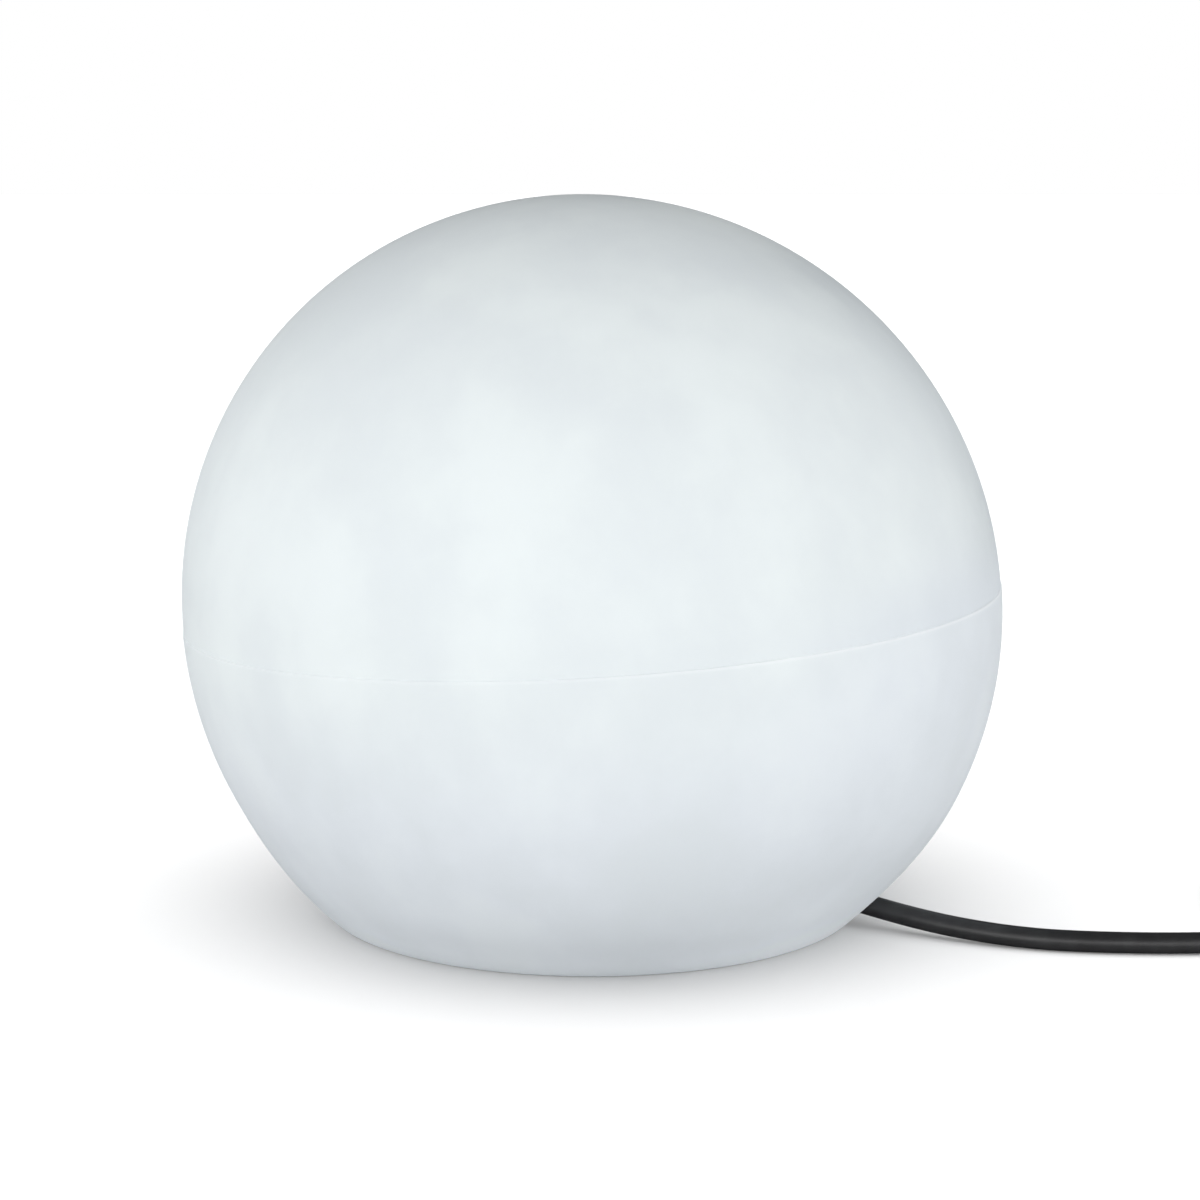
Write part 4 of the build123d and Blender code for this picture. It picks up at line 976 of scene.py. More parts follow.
@dataclass(frozen=True)
class Thread:
    """A helical right-hand thread between two heights."""

    start: float
    end: float
    pitch: float
    depth: float
    run_out: float

    def shape(self, radius: float, height: float, angle: float) -> float:
        """The radius with the thread's wave on it, fading out towards its two ends.

        Args:
            radius: The point's radius, which the crests reach.
            height: Its height.
            angle: Its angle about Z.

        Returns:
            The new radius.
        """
        inside = min(height - self.start, self.end - height) / self.run_out
        fade = min(max(inside, 0.0), 1.0)
        wave = 0.5 + 0.5 * cos(2 * pi * (height / self.pitch - angle / (2 * pi)))
        return radius - self.depth * (1.0 - wave * fade)

    def heights(self, steps: int = 8) -> list[float]:
        """Heights from start to end, fine enough for the wave.

        Args:
            steps: How many there are in one pitch.

        Returns:
            The heights.
        """
        count = ceil((self.end - self.start) / self.pitch * steps)
        return [self.start + (self.end - self.start) * step / count for step in range(count + 1)]


@dataclass(frozen=True)
class Screw:
    """A screw that stands with its seat at height zero, its head below and its thread above."""

    radius: float
    length: float
    head_radius: float
    head_height: float
    pitch: float
    hexagon: float = 0.0
    seated: float = 0.3 * MM
    point: float = 0.6 * MM
    start: float = 0.4 * MM

    def shank(self) -> Form:
        """The threaded shank with its point.

        Returns:
            The form.
        """
        depth = 0.22 * self.radius
        thread = Thread(self.start, self.length - self.point, self.pitch, depth, self.pitch)
        profile = [(0.0, -self.seated), (self.radius, -self.seated)]
        profile += [(self.radius, height) for height in thread.heights()]
        profile += [(self.radius * 0.55, self.length), (0.0, self.length)]

        def shape(radius: float, height: float, angle: float) -> float:
            """Threaded along the side alone."""
            return thread.shape(radius, height, angle) if radius == self.radius else radius

        return Form.lathe(profile, 20, shape=shape)

    def hexagon_head(self) -> Form:
        """A hexagonal head with bevelled corners.

        Returns:
            The form.
        """
        low, bevel, corner = -self.head_height, 0.22 * self.head_height, self.hexagon / sqrt(3)
        profile = [(0.0, low), (0.86 * corner, low), (corner, low + bevel), (corner, -bevel),
                   (0.93 * corner, 0.0), (0.0, 0.0)]
        return Form.lathe(profile, 48, shape=hexagonal(self.hexagon))

    def pan_head(self) -> Form:
        """A pan head with a cross recess.

        Returns:
            The form.
        """
        low, radius = -self.head_height, self.head_radius
        profile = [(0.0, low), (radius * 0.62, low), (radius, low * 0.25, 0.5 * MM), (radius, 0.0),
                   (0.0, 0.0)]
        head = Form.lathe(soften(profile), 36).piece("pan_head")
        arm, half, depth = 0.56 * radius, 0.15 * radius, low * 0.35
        for wide, narrow in ((arm, half), (half, arm)):
            slot = Form.box((-wide, -narrow, low * 2), (wide, narrow, depth))
            head = cut(head, slot.piece("recess"))
        return Form.of(head)

    def form(self) -> Form:
        """Head and shank."""
        return (self.hexagon_head() if self.hexagon else self.pan_head()) + self.shank()


def upright(x: float, y: float, z: float) -> Matrix:
    """A place on the lamp base, in millimetres, with +X the way in which the lead leaves."""
    return TO_EXIT @ Matrix.Translation(Vector((x, y, z)) * MM)


def leg_places(z: float) -> list[Matrix]:
    """Where the legs stand, and with them the globe's screws and inserts.

    Args:
        z: A height in millimetres.

    Returns:
        The four places at that height.
    """
    out = Matrix.Translation((LEG_CIRCLE, 0, z * MM))
    turns = [FIRST_LEG + 2 * pi * leg / LEG_COUNT for leg in range(LEG_COUNT)]
    return [TO_EXIT @ Matrix.Rotation(turn, 4, "Z") @ out for turn in turns]


# --- globe ---
@dataclass
class Globe:
    """The moulded globe with its parting line, rim, hollow, cable tunnel and inserts."""

    radius: float = 150 * MM
    centre_z: float = 114 * MM
    wall: float = 3.5 * MM
    rim_round: float = 4.0 * MM
    rim_steps: int = 6
    seam_step: float = 0.35 * MM
    seam_rise: float = 1.0 * MM
    seam_margin: float = 2.0 * MM
    # (way past the line, height over the upper half), in millimetres
    seam_section: Corners = ((-1.3, 0.0), (-0.35, 0.0), (-0.15, 0.03), (0.0, 0.2), (0.15, 0.35),
                             (0.4, 0.38), (1.3, 0.35))
    recess_radius: float = 82 * MM
    recess_depth: float = 36 * MM
    opening_radius: float = 52 * MM
    edge_bevel: float = 0.9 * MM
    notch_width: float = 13.5 * MM
    notch_height: float = 18.5 * MM
    boss_root: float = 7.6
    boss_top: Corners = ((7.2, 47.0), (6.4, 48.0), (0.0, 48.0))
    pocket_radius: float = 4.65
    pocket_top: float = 45.1
    insert_flats: float = 8 * MM
    insert_groove: float = 3.7 * MM
    out_of_round: float = 1.7 * MM
    long_axis: float = radians(140)
    true_below: float = 2 * MM
    swells_over: float = 45 * MM
    around: int = 288
    rows_above: int = 100
    rows_below: int = 56
    rows_inside: int = 48

    def seam_angle(self, azimuth: float) -> float:
        """Where the parting line crosses an azimuth.

        Args:
            azimuth: The azimuth.

        Returns:
            The angle from the top.
        """
        lean = sin(SEAM_TILT) * cos(azimuth)
        reach = hypot(cos(SEAM_TILT), lean)
        rise = self.seam_rise * cos(SEAM_TILT) / self.radius
        return acos(rise / reach) - atan2(lean, cos(SEAM_TILT))

    def settled(self, point: Vector) -> Vector:
        """Push a point out or in, as the cooled moulding is a little out of round.

        Args:
            point: A point of the true ball.

        Returns:
            The moved point.
        """
        way = (point - Vector((0, 0, self.centre_z))).normalized()
        along = way.x * cos(self.long_axis) + way.z * sin(self.long_axis)
        swell = 2 * along ** 2 - (way.x ** 2 + way.z ** 2)
        share = min(max((point.z - self.true_below) / self.swells_over, 0.0), 1.0)
        return point + way * self.out_of_round * swell * share ** 2 * (3 - 2 * share)

    def on_sphere(self, radius: float, angle: float, azimuth: float) -> Vector:
        """A point of the skin.

        Args:
            radius: Its distance from the globe's centre.
            angle: Its angle from the top.
            azimuth: Its azimuth.

        Returns:
            The point.
        """
        ring = radius * sin(angle)
        height = self.centre_z + radius * cos(angle)
        return self.settled(Vector((ring * cos(azimuth), ring * sin(azimuth), height)))

    def skin(self) -> Form:
        """The outside, closed by the floor: two half moulds that meet in a fine step.

        Returns:
            The form.
        """
        azimuths = [2 * pi * step / self.around for step in range(self.around)]
        seams = [self.seam_angle(azimuth) for azimuth in azimuths]
        upper = self.radius - self.seam_step
        margin = self.seam_margin / self.radius
        rim_angle = acos((self.rim_round - self.centre_z) / (self.radius - self.rim_round))

        def ring(radius: float, angles: Sequence[float]) -> list[Vector]:
            """One point per azimuth, each at its own angle from the top."""
            return [self.on_sphere(radius, *way) for way in zip(angles, azimuths)]

        rings = []
        for row in range(self.rows_above):
            share = (row + 0.2) / self.rows_above
            rings.append(ring(upper, [share * (seam - margin) for seam in seams]))
        for past, over in self.seam_section:
            angles = [seam + past * MM / self.radius for seam in seams]
            rings.append(ring(upper + over * MM, angles))
        for row in range(self.rows_below + 1):
            share = row / self.rows_below
            angles = [(seam + margin) * (1 - share) + rim_angle * share for seam in seams]
            rings.append(ring(self.radius, angles))
        to_fillet, drop = self.radius - self.rim_round, self.centre_z - self.rim_round
        fillet_radius = sqrt(to_fillet ** 2 - drop ** 2)
        for step in range(1, self.rim_steps + 1):
            turn = rim_angle + (pi - rim_angle) * step / self.rim_steps
            reach = fillet_radius + self.rim_round * sin(turn)
            height = self.rim_round + self.rim_round * cos(turn)
            rings.append([Vector((reach * cos(azimuth), reach * sin(azimuth), height))
                          for azimuth in azimuths])
        return Form.loft(rings)

    def air(self) -> Form:
        """The space that the wall encloses, above the hollow.

        Returns:
            The form.
        """
        inner = self.radius - self.wall
        floor_angle = acos((self.wall - self.centre_z) / inner)
        angles = [floor_angle * row / self.rows_inside for row in range(self.rows_inside + 1)]
        profile = [(inner * sin(angle), self.centre_z + inner * cos(angle)) for angle in angles]
        web, roof = self.recess_radius + self.wall, self.recess_depth + self.wall
        corners = [(profile[-1][0], self.wall), (web, self.wall, 2 * MM), (web, roof, 3 * MM),
                   (0.0, roof)]
        return Form.lathe(profile + soften(corners)[1:], 144)

    def tunnel(self, extra: float) -> Form:
        """The cable's tunnel through the rim, as a solid.

        Args:
            extra: How much it is grown on each side.

        Returns:
            The form.
        """
        half = self.notch_width / 2 + extra
        arch_z = self.notch_height - self.notch_width / 2
        turns = [pi * step / 20 for step in range(21)]
        arch = [(half * cos(turn), arch_z + half * sin(turn)) for turn in turns]
        outline = [(half, -2 * MM)] + arch + [(-half, -2 * MM)]
        ends = (self.recess_radius - self.wall, self.radius)
        return Form.loft([[Vector((x, y, z)) for y, z in outline] for x in ends]).at(TO_EXIT)

    def hollow(self) -> Form:
        """The hollow for the lamp base, with a bevelled edge at the floor.

        Returns:
            The form.
        """
        radius, depth, bevel = self.recess_radius, self.recess_depth, self.edge_bevel
        corners = [(0.0, -2 * MM), (radius + bevel, -2 * MM), (radius + bevel, 0.0),
                   (radius, bevel), (radius, depth, 1.5 * MM), (0.0, depth)]
        return Form.lathe(soften(corners), 192)

    def opening(self) -> Form:
        """The lamp opening in the hollow's roof, with a bevelled edge below.

        Returns:
            The form.
        """
        radius, depth, bevel = self.opening_radius, self.recess_depth, self.edge_bevel
        profile = [(0.0, 30 * MM), (radius + bevel, 30 * MM), (radius + bevel, depth),
                   (radius, depth + bevel), (radius, 45 * MM), (0.0, 45 * MM)]
        return Form.lathe(profile, 160)

    def shell(self) -> bpy.types.Object:
        """The whole moulding: skin less the air, hollow, opening, tunnel and pockets.

        Returns:
            The object.
        """
        air = cut(self.air().piece("air"), self.tunnel(self.wall).piece("tunnel_wall"))
        roof = self.recess_depth / MM
        boss = Form.turned(((0.0, roof), (self.boss_root, roof)) + self.boss_top, 40)
        air = cut(air, boss.copies(leg_places(0)).piece("bosses"))
        body = cut(self.skin().piece("globe_moulding"), air)
        pocket = Form.rod(self.pocket_radius, 30.0, self.pocket_top, 6)
        for name, form in (("hollow", self.hollow()),
                           ("opening", self.opening()),
                           ("tunnel", self.tunnel(0.0)),
                           ("pockets", pocket.copies(leg_places(0)))):
            body = cut(body, form.piece(name))
        return smoothed(body)

    def insert(self) -> Form:
        """A hexagonal brass insert with a countersunk bore.

        Returns:
            The form.
        """
        corner, groove = self.insert_flats / sqrt(3), self.insert_groove
        profile = [(2.6 * MM, 0.0), (0.9 * corner, 0.0), (corner, 0.5 * MM), (corner, 3.6 * MM),
                   (groove, 4.0 * MM), (groove, 5.0 * MM), (corner, 5.4 * MM), (corner, 8.5 * MM),
                   (0.9 * corner, 9 * MM), (2.5 * MM, 9 * MM), (2.05 * MM, 8.6 * MM),
                   (2.05 * MM, 0.55 * MM)]
        return Form.lathe(profile, 48, looped=True, shape=hexagonal(self.insert_flats, pi / 6))

    def build(self) -> None:
        """Make the globe's pieces."""
        deliver(self.shell(), GLOBE_PLASTIC, Body.GLOBE, "globe_plastic", "globe_shell")
        inserts = self.insert().copies(leg_places(36)).piece("brass_inserts")
        deliver(inserts, BRASS, Body.GLOBE, "brass", "threaded_inserts")


# --- lamp base ---
@dataclass
class LampBase:
    """What shows of the lamp base from below: feet, screws and the cable gland.

    Sections and places are in millimetres.
    """

    globe_screw: Screw = Screw(2 * MM, 14 * MM, 3.9 * MM, 2.8 * MM, 0.7 * MM, hexagon=7 * MM)
    globe_screw_z: float = 30.0
    cover_screws_x: tuple[float, float] = (-32.4, 34.4)
    cover_screws_y: float = 20.4
    cover_screws_z: float = 3.4
    clamp_screw: tuple[float, float, float] = (27.5, 8.5, 8.5)
    block_screw: tuple[float, float, float] = (-6.0, 0.0, 28.5)
    gland_hexagon: float = 19 * MM
    gland_radius: float = 8 * MM
    axis_z: float = 15.5
    flutes: int = 18
    flute_depth: float = 0.22 * MM
    fluted: tuple[float, float] = (55.5 * MM, 64.5 * MM)
    foot_section: Corners = ((6.6, 0.0), (6.7, 0.6), (7.5, 0.6), (7.6, 0.0), (9.0, 0.0, 1.1),
                             (9.0, 5.0, 0.3), (5.4, 5.0, 0.3), (5.4, 0.0, 0.7), (6.5, 0.0))
    nut_flange: Corners = ((7.4, 46.0), (9.9, 46.0), (10.97, 46.7), (10.97, 53.1), (9.7, 54.0),
                           (9.35, 54.3))
    nut_mouth: Corners = ((6.6, 65.6, 0.5), (6.3, 66.0, 0.4), (5.4, 66.0), (4.2, 64.8), (4.2, 54.0),
                          (7.2, 54.0), (7.2, 46.2))
    sleeve_section: Corners = ((8.0, 40.0), (9.9, 40.0), (10.97, 40.7), (10.97, 45.4), (9.9, 46.0),
                               (7.0, 46.0), (7.0, 53.8), (6.6, 54.0), (5.4, 54.0), (5.4, 44.0),
                               (4.0, 44.0), (4.0, 32.0), (7.2, 32.0))

    def along_cable(self) -> Matrix:
        """Lays a form that is lathed about Z onto the gland's axis."""
        return upright(0, 0, self.axis_z) @ Matrix.Rotation(pi / 2, 4, "Y")

    def foot(self) -> Form:
        """A rubber ring with a rounded sole and one tread groove."""
        return Form.turned(self.foot_section, 64, looped=True)

    @staticmethod
    def small_screws(length: float, *places: Matrix) -> Form:
        """Self-tapping pan screws.

        Args:
            length: Their length, in millimetres.
            *places: Where they stand.

        Returns:
            All of them in one form.
        """
        return Screw(1.4 * MM, length * MM, 2.6 * MM, 1.6 * MM, 1.1 * MM).form().copies(places)

    def gland_nut(self) -> Form:
        """Hexagonal cap nut with a fluted, tapered nose.

        Returns:
            The form.
        """
        hexagon = hexagonal(self.gland_hexagon)
        low, high = self.fluted

        def shape(radius: float, height: float, angle: float) -> float:
            """Trimmed to the hexagon, and fluted along the nose.

            Args:
                radius: The point's radius.
                height: Its way along the axis.
                angle: Its angle about the axis.

            Returns:
                The new radius.
            """
            trimmed = min(radius, hexagon(radius, height, angle))
            if radius <= 6 * MM:
                return trimmed
            fade = min(max(min(height - low, high - height) / (2 * MM), 0.0), 1.0)
            return trimmed - self.flute_depth * (0.5 - 0.5 * cos(self.flutes * angle)) * fade

        nose = tuple((9.3 - 2.7 * step / 12, 54.6 + 11.0 * step / 12) for step in range(12))
        return Form.turned(self.nut_flange + nose + self.nut_mouth, 144, looped=True, shape=shape)

    def gland_body(self) -> Form:
        """Threaded shank, hexagonal flange and the sleeve inside the nut.

        Returns:
            The form.
        """
        thread = Thread(32.4 * MM, 39.6 * MM, 1.5 * MM, 0.55 * MM, 1.0 * MM)
        hexagon = hexagonal(self.gland_hexagon)

        def shape(radius: float, height: float, angle: float) -> float:
            """Threaded on the shank, hexagonal on the flange.

            Args:
                radius: The point's radius.
                height: Its way along the axis.
                angle: Its angle about the axis.

            Returns:
                The new radius.
            """
            if abs(radius - self.gland_radius) < 1e-7:
                return thread.shape(radius, height, angle)
            return hexagon(radius, height, angle)

        shank = [(self.gland_radius, height) for height in thread.heights()]
        return Form.lathe(shank + in_metres(self.sleeve_section), 96, looped=True, shape=shape)

    def build(self) -> None:
        """Make the pieces and set them on the base."""
        across, aside, height = self.clamp_screw
        corners = [upright(x, y, self.cover_screws_z) for x in self.cover_screws_x
                   for y in (-self.cover_screws_y, self.cover_screws_y)]
        clamp = [upright(across, side, height) for side in (-aside, aside)]
        bolts = self.globe_screw.form().copies(leg_places(self.globe_screw_z))
        block = self.small_screws(5, upright(*self.block_screw))
        feet = self.foot().copies(leg_places(0))
        deliver(feet.piece("rubber_feet"), SEAL_RUBBER, Body.BASE, "seal_rubber", "feet")
        for name, form, node in (
                ("hexagon_screws", bolts, "globe_screws"),
                ("cover_pan_screws", self.small_screws(10, *corners), "cover_screws"),
                ("clamp_pan_screws", self.small_screws(17, *clamp), "clamp_screws"),
                ("block_pan_screw", block, "terminal_block_screw")):
            deliver(form.piece(name), ZINC, Body.BASE, "steel_screws", node)
        for name, form, node in (("gland_cap_nut", self.gland_nut(), "gland_nut"),
                                 ("gland_shank", self.gland_body(), "gland_body")):
            piece = form.at(self.along_cable()).piece(name)
            deliver(piece, GLAND_NYLON, Body.BASE, "gland_plastic", node)


# --- lampholder ---
@dataclass(frozen=True)
class LampThread:
    """The rolled 27 mm lamp thread, shared by the holder's shell and the bulb's cap."""

    pitch: float = 3.629 * MM
    depth: float = 0.5 * MM
    run_out: float = 1.5 * MM
    row: float = 0.3 * MM

    def wave(self, height: float, angle: float) -> float:
        """The thread's push outwards at a place, for a right-hand thread."""
        return self.depth * cos(2 * pi * (height / self.pitch - angle / (2 * pi)))

    def shape(self, low: float, high: float, core: float) -> Shape:
        """A shape for Form.lathe that rolls the thread between two heights.

        Args:
            low: Where the thread starts.
            high: Where it ends.
            core: The radius up to which nothing changes.

        Returns:
            The shape callback.
        """
        def waved(radius: float, height: float, angle: float) -> float:
            """The radius with the wave, which fades near each end."""
            fade = min(max(min(height - low, high - height) / self.run_out, 0.0), 1.0)
            return radius + self.wave(height, angle) * fade if radius > core else radius
        return waved

    def heights(self, low: float, high: float) -> list[float]:
        """Heights fine enough to carry the wave.

        Args:
            low: The first.
            high: The last.

        Returns:
            The heights.
        """
        count = ceil((high - low) / self.row)
        return [low + (high - low) * number / count for number in range(count + 1)]


LAMP_THREAD = LampThread()


@dataclass
class LampHolder:
    """Flanged base, ceramic disc, fluted collar, threaded shell and screws.

    Sections are in millimetres.
    """

    flutes: int = 12
    flute_radius: float = 1.2 * MM
    fluted: tuple[float, float] = (57.2 * MM, 70.8 * MM)
    screw_offset: float = 18.4
    post_half: float = 3.4 * MM
    bore: float = 13.05 * MM
    metal: float = 0.28 * MM
    rolled: tuple[float, float] = (57.5 * MM, 76.6 * MM)
    base_section: Corners = ((0.0, 35.0), (31.0, 35.0), (31.0, 38.0, 1.0), (28.5, 38.0, 1.2),
                             (27.6, 41.0, 1.5), (25.0, 50.4, 1.0), (24.0, 52.0, 1.2), (0.0, 52.0))
    hollow_section: Corners = ((0.0, 34.0), (26.1, 34.0), (26.0, 35.0), (21.5, 49.5), (0.0, 49.5))
    disc_section: Corners = ((0.0, 49.5), (18.4, 49.5, 0.3), (18.4, 52.0, 0.2), (16.6, 52.0, 0.3),
                             (16.6, 57.5, 0.6), (0.0, 57.5))
    collar_foot: Corners = ((17.0, 52.0), (19.6, 52.0), (20.0, 52.4))
    collar_mouth: Corners = ((20.0, 74.4), (20.0, 76.0, 1.4), (14.0, 76.0, 0.8), (14.0, 72.8, 0.3),
                             (16.8, 72.8, 0.5), (16.8, 52.2))
    lip_section: Corners = ((13.25, 77.2), (13.45, 77.5), (13.75, 77.4), (13.5, 77.0))

    def screw_places(self, z: float) -> list[Matrix]:
        """Where the two flange screws stand, at a height in millimetres."""
        return [upright(side * self.screw_offset, side * self.screw_offset, z) for side in (-1, 1)]

    def base(self) -> bpy.types.Object:
        """Flanged housing with rounded edges, sunk screw seats and a seat for the disc.

        Returns:
            The object.
        """
        body = Form.turned(self.base_section, 144).piece("lampholder_housing")
        body = cut(body, Form.lathe(in_metres(self.hollow_section), 96).piece("hollow"))
        half = self.post_half
        post = Form.box((-half, -half, 35 * MM), (half, half, 38 * MM))
        body = cut(body, post.copies(self.screw_places(0)).piece("posts"), "UNION")
        for name, form in (("seats", Form.rod(3.0, 0.0, 16.0, 40).copies(self.screw_places(38))),
                           ("holes", Form.rod(1.6, 0.0, 8.0, 24).copies(self.screw_places(33))),
                           ("disc_seat", Form.rod(18.45, 49.4, 53.0, 120))):
            body = cut(body, form.piece(name))
        return smoothed(body)

    def collar(self) -> Form:
        """Collar with grip flutes that end in round run-outs.

        Returns:
            The form.
        """
        low, high = self.fluted
        turn = 2 * pi / self.flutes

        def shape(radius: float, height: float, angle: float) -> float:
            """The radius less the flute's depth.

            Args:
                radius: The point's radius.
                height: Its height.
                angle: Its angle about Z.

            Returns:
                The new radius.
            """
            if radius < 19.9 * MM:
                return radius
            aside = abs((angle + turn / 2) % turn - turn / 2) * radius
            beyond = max(low - height, height - high, 0.0)
            room = self.flute_radius ** 2 - aside ** 2 - beyond ** 2
            return radius - sqrt(room) if room > 0 else radius

        side = tuple((20.0, 55.6 + 16.8 * step / 42) for step in range(43))
        section = self.collar_foot + side + self.collar_mouth
        return Form.turned(section, 360, looped=True, shape=shape)

    def shell(self) -> Form:
        """Thin metal shell rolled with the lamp thread, flared at its mouth.

        Returns:
            The form.
        """
        inner = [(self.bore, height) for height in LAMP_THREAD.heights(*self.rolled)]
        outer = [(radius + self.metal, height) for radius, height in reversed(inner)]
        profile = inner + in_metres(self.lip_section) + outer
        return Form.lathe(profile, 120, looped=True, shape=LAMP_THREAD.shape(*self.rolled, 12 * MM))

    def build(self) -> None:
        """Make the pieces and set them on the base."""
        deliver(self.base(), HOLDER_BAKELITE, Body.BASE, "holder_plastic", "lampholder_base")
        down = Matrix.Rotation(pi, 4, "X")
        screws = LampBase.small_screws(9, *[place @ down for place in self.screw_places(38)])
        disc, collar = Form.turned(self.disc_section).at(TO_EXIT), self.collar().at(TO_EXIT)
        for name, form, finish, slot, node in (
                ("ceramic_disc", disc, STEATITE, "disc_ceramic", "lampholder_disc"),
                ("fluted_collar", collar, HOLDER_BAKELITE, "holder_plastic", "lampholder_collar"),
                ("threaded_shell", self.shell(), NICKEL, "plated_metal", "screw_shell"),
                ("flange_pan_screws", screws, ZINC, "steel_screws", "lampholder_screws")):
            deliver(form.piece(name), finish, Body.BASE, slot, node)


# --- bulb ---
@dataclass
class Bulb:
    """LED bulb: contact, glass insulator, threaded cap, housing and opal dome.

    Sections are in millimetres.
    """

    dome_radius: float = 30 * MM
    dome_centre_z: float = 136.7 * MM
    dome_rows: int = 40
    foot_radius: float = 28 * MM
    foot_z: float = 117.7 * MM
    wall: float = 1.5 * MM
    cap_radius: float = 12.6 * MM
    cap_metal: float = 0.25 * MM
    rolled: tuple[float, float] = (67.9 * MM, 83.2 * MM)
    collar_core: float = 11.8 * MM
    crimps: int = 8
    crimp_z: float = 84.3 * MM
    crimp_half: float = 0.8 * MM
    crimp_depth: float = 0.3 * MM
    contact_section: Corners = ((0.0, 60.95), (1.3, 60.9), (1.9, 60.8, 0.3), (3.7, 60.8, 0.6),
                                (4.6, 61.7, 0.5), (4.6, 62.3), (0.0, 62.3))
    insulator_section: Corners = ((0.0, 62.3), (5.2, 62.3, 0.3), (5.6, 63.1, 0.4), (7.0, 63.5, 0.5),
                                  (7.6, 64.5, 0.4), (9.2, 65.0, 0.4), (9.5, 65.7), (0.0, 65.7))
    housing_section: Corners = ((9.0, 69.9), (11.4, 69.7), (11.5, 85.4), (12.6, 85.8),
                                (14.3, 85.8, 0.4), (14.9, 87.4, 0.8), (26.2, 109.9, 5.0),
                                (27.4, 115.6), (27.4, 116.1), (28.0, 116.4, 0.2),
                                (28.0, 117.7, 0.2), (26.2, 117.7), (24.0, 109.0), (10.5, 90.0),
                                (9.4, 70.2))

    def dome_profile(self, inset: float) -> Profile:
        """From the foot up over the ball to its top.

        Args:
            inset: How far it is drawn in.

        Returns:
            The profile.
        """
        radius, foot = self.dome_radius - inset, self.foot_radius - inset
        start = -acos(foot / radius)
        turns = [start + (pi / 2 - start) * row / self.dome_rows for row in range(self.dome_rows)]
        dome = [(radius * cos(turn), self.dome_centre_z + radius * sin(turn)) for turn in turns]
        return [(foot, self.foot_z + inset)] + dome + [(0.0, self.dome_centre_z + radius)]

    def diffuser(self) -> Form:
        """Opal dome with its wall and a softened foot.

        Returns:
            The form.
        """
        outside, inside = self.dome_profile(0.0), self.dome_profile(self.wall)
        foot = [(self.foot_radius - 1.05 * MM, self.foot_z),
                (self.foot_radius - 0.3 * MM, self.foot_z),
                (self.foot_radius, self.foot_z + 0.3 * MM)]
        return Form.lathe(inside[::-1] + foot + outside[1:], 128)

    def cap(self) -> Form:
        """Thin nickel cap with the rolled thread and a crimped collar.

        Returns:
            The form.
        """
        core = self.collar_core
        thread = LAMP_THREAD.shape(*self.rolled, core)

        def shape(radius: float, height: float, angle: float) -> float:
            """The thread, and the crimp dents round the collar.

            Args:
                radius: The point's radius.
                height: Its height.
                angle: Its angle about Z.

            Returns:
                The new radius.
            """
            across = max(0.0, 1 - ((height - self.crimp_z) / self.crimp_half) ** 2)
            dent = max(0.0, cos(self.crimps * angle)) ** 6 * across
            return thread(radius, height, angle) - self.crimp_depth * dent * (radius > core)

        side = [(self.cap_radius, height) for height in LAMP_THREAD.heights(*self.rolled)]
        collar = [(12.75 * MM, 83.5 * MM)]
        collar += [(12.9 * MM, (83.7 + 0.2 * step) * MM) for step in range(10)]
        foot = soften([(0.0, 65.7 * MM), (9.6 * MM, 65.7 * MM, 0.4 * MM),
                       (12.3 * MM, 67.5 * MM, 0.6 * MM), side[0]])
        outside = foot[:-1] + side + collar
        inside = [(radius - self.cap_metal, height)
                  for radius, height in reversed(side + collar[:-1])]
        profile = outside + in_metres(((12.7, 85.7),)) + inside + in_metres(((9.4, 66.2), (0.0, 66.2)))
        return Form.lathe(profile, 120, shape=shape)

    def build(self) -> None:
        """Make the pieces and set them on the bulb and its foot."""
        button = Form.turned(self.contact_section, 64).piece("centre_button")
        deliver(button, BRASS, Body.BULB_FOOT, "brass", "bulb_contact")
        insulator = Form.turned(self.insulator_section)
        housing = Form.turned(self.housing_section, 128, looped=True)
        for name, form, finish, slot, node in (
                ("glass_insulator", insulator, INSULATOR_GLASS, "insulator_black", "bulb_insulator"),
                ("threaded_cap", self.cap(), NICKEL, "plated_metal", "bulb_cap"),
                ("flared_housing", housing, BULB_SATIN, "bulb_plastic", "bulb_housing"),
                ("opal_dome", self.diffuser(), OPAL, "opal_plastic", "bulb_diffuser")):
            deliver(form.piece(name), finish, Body.BULB, slot, node)


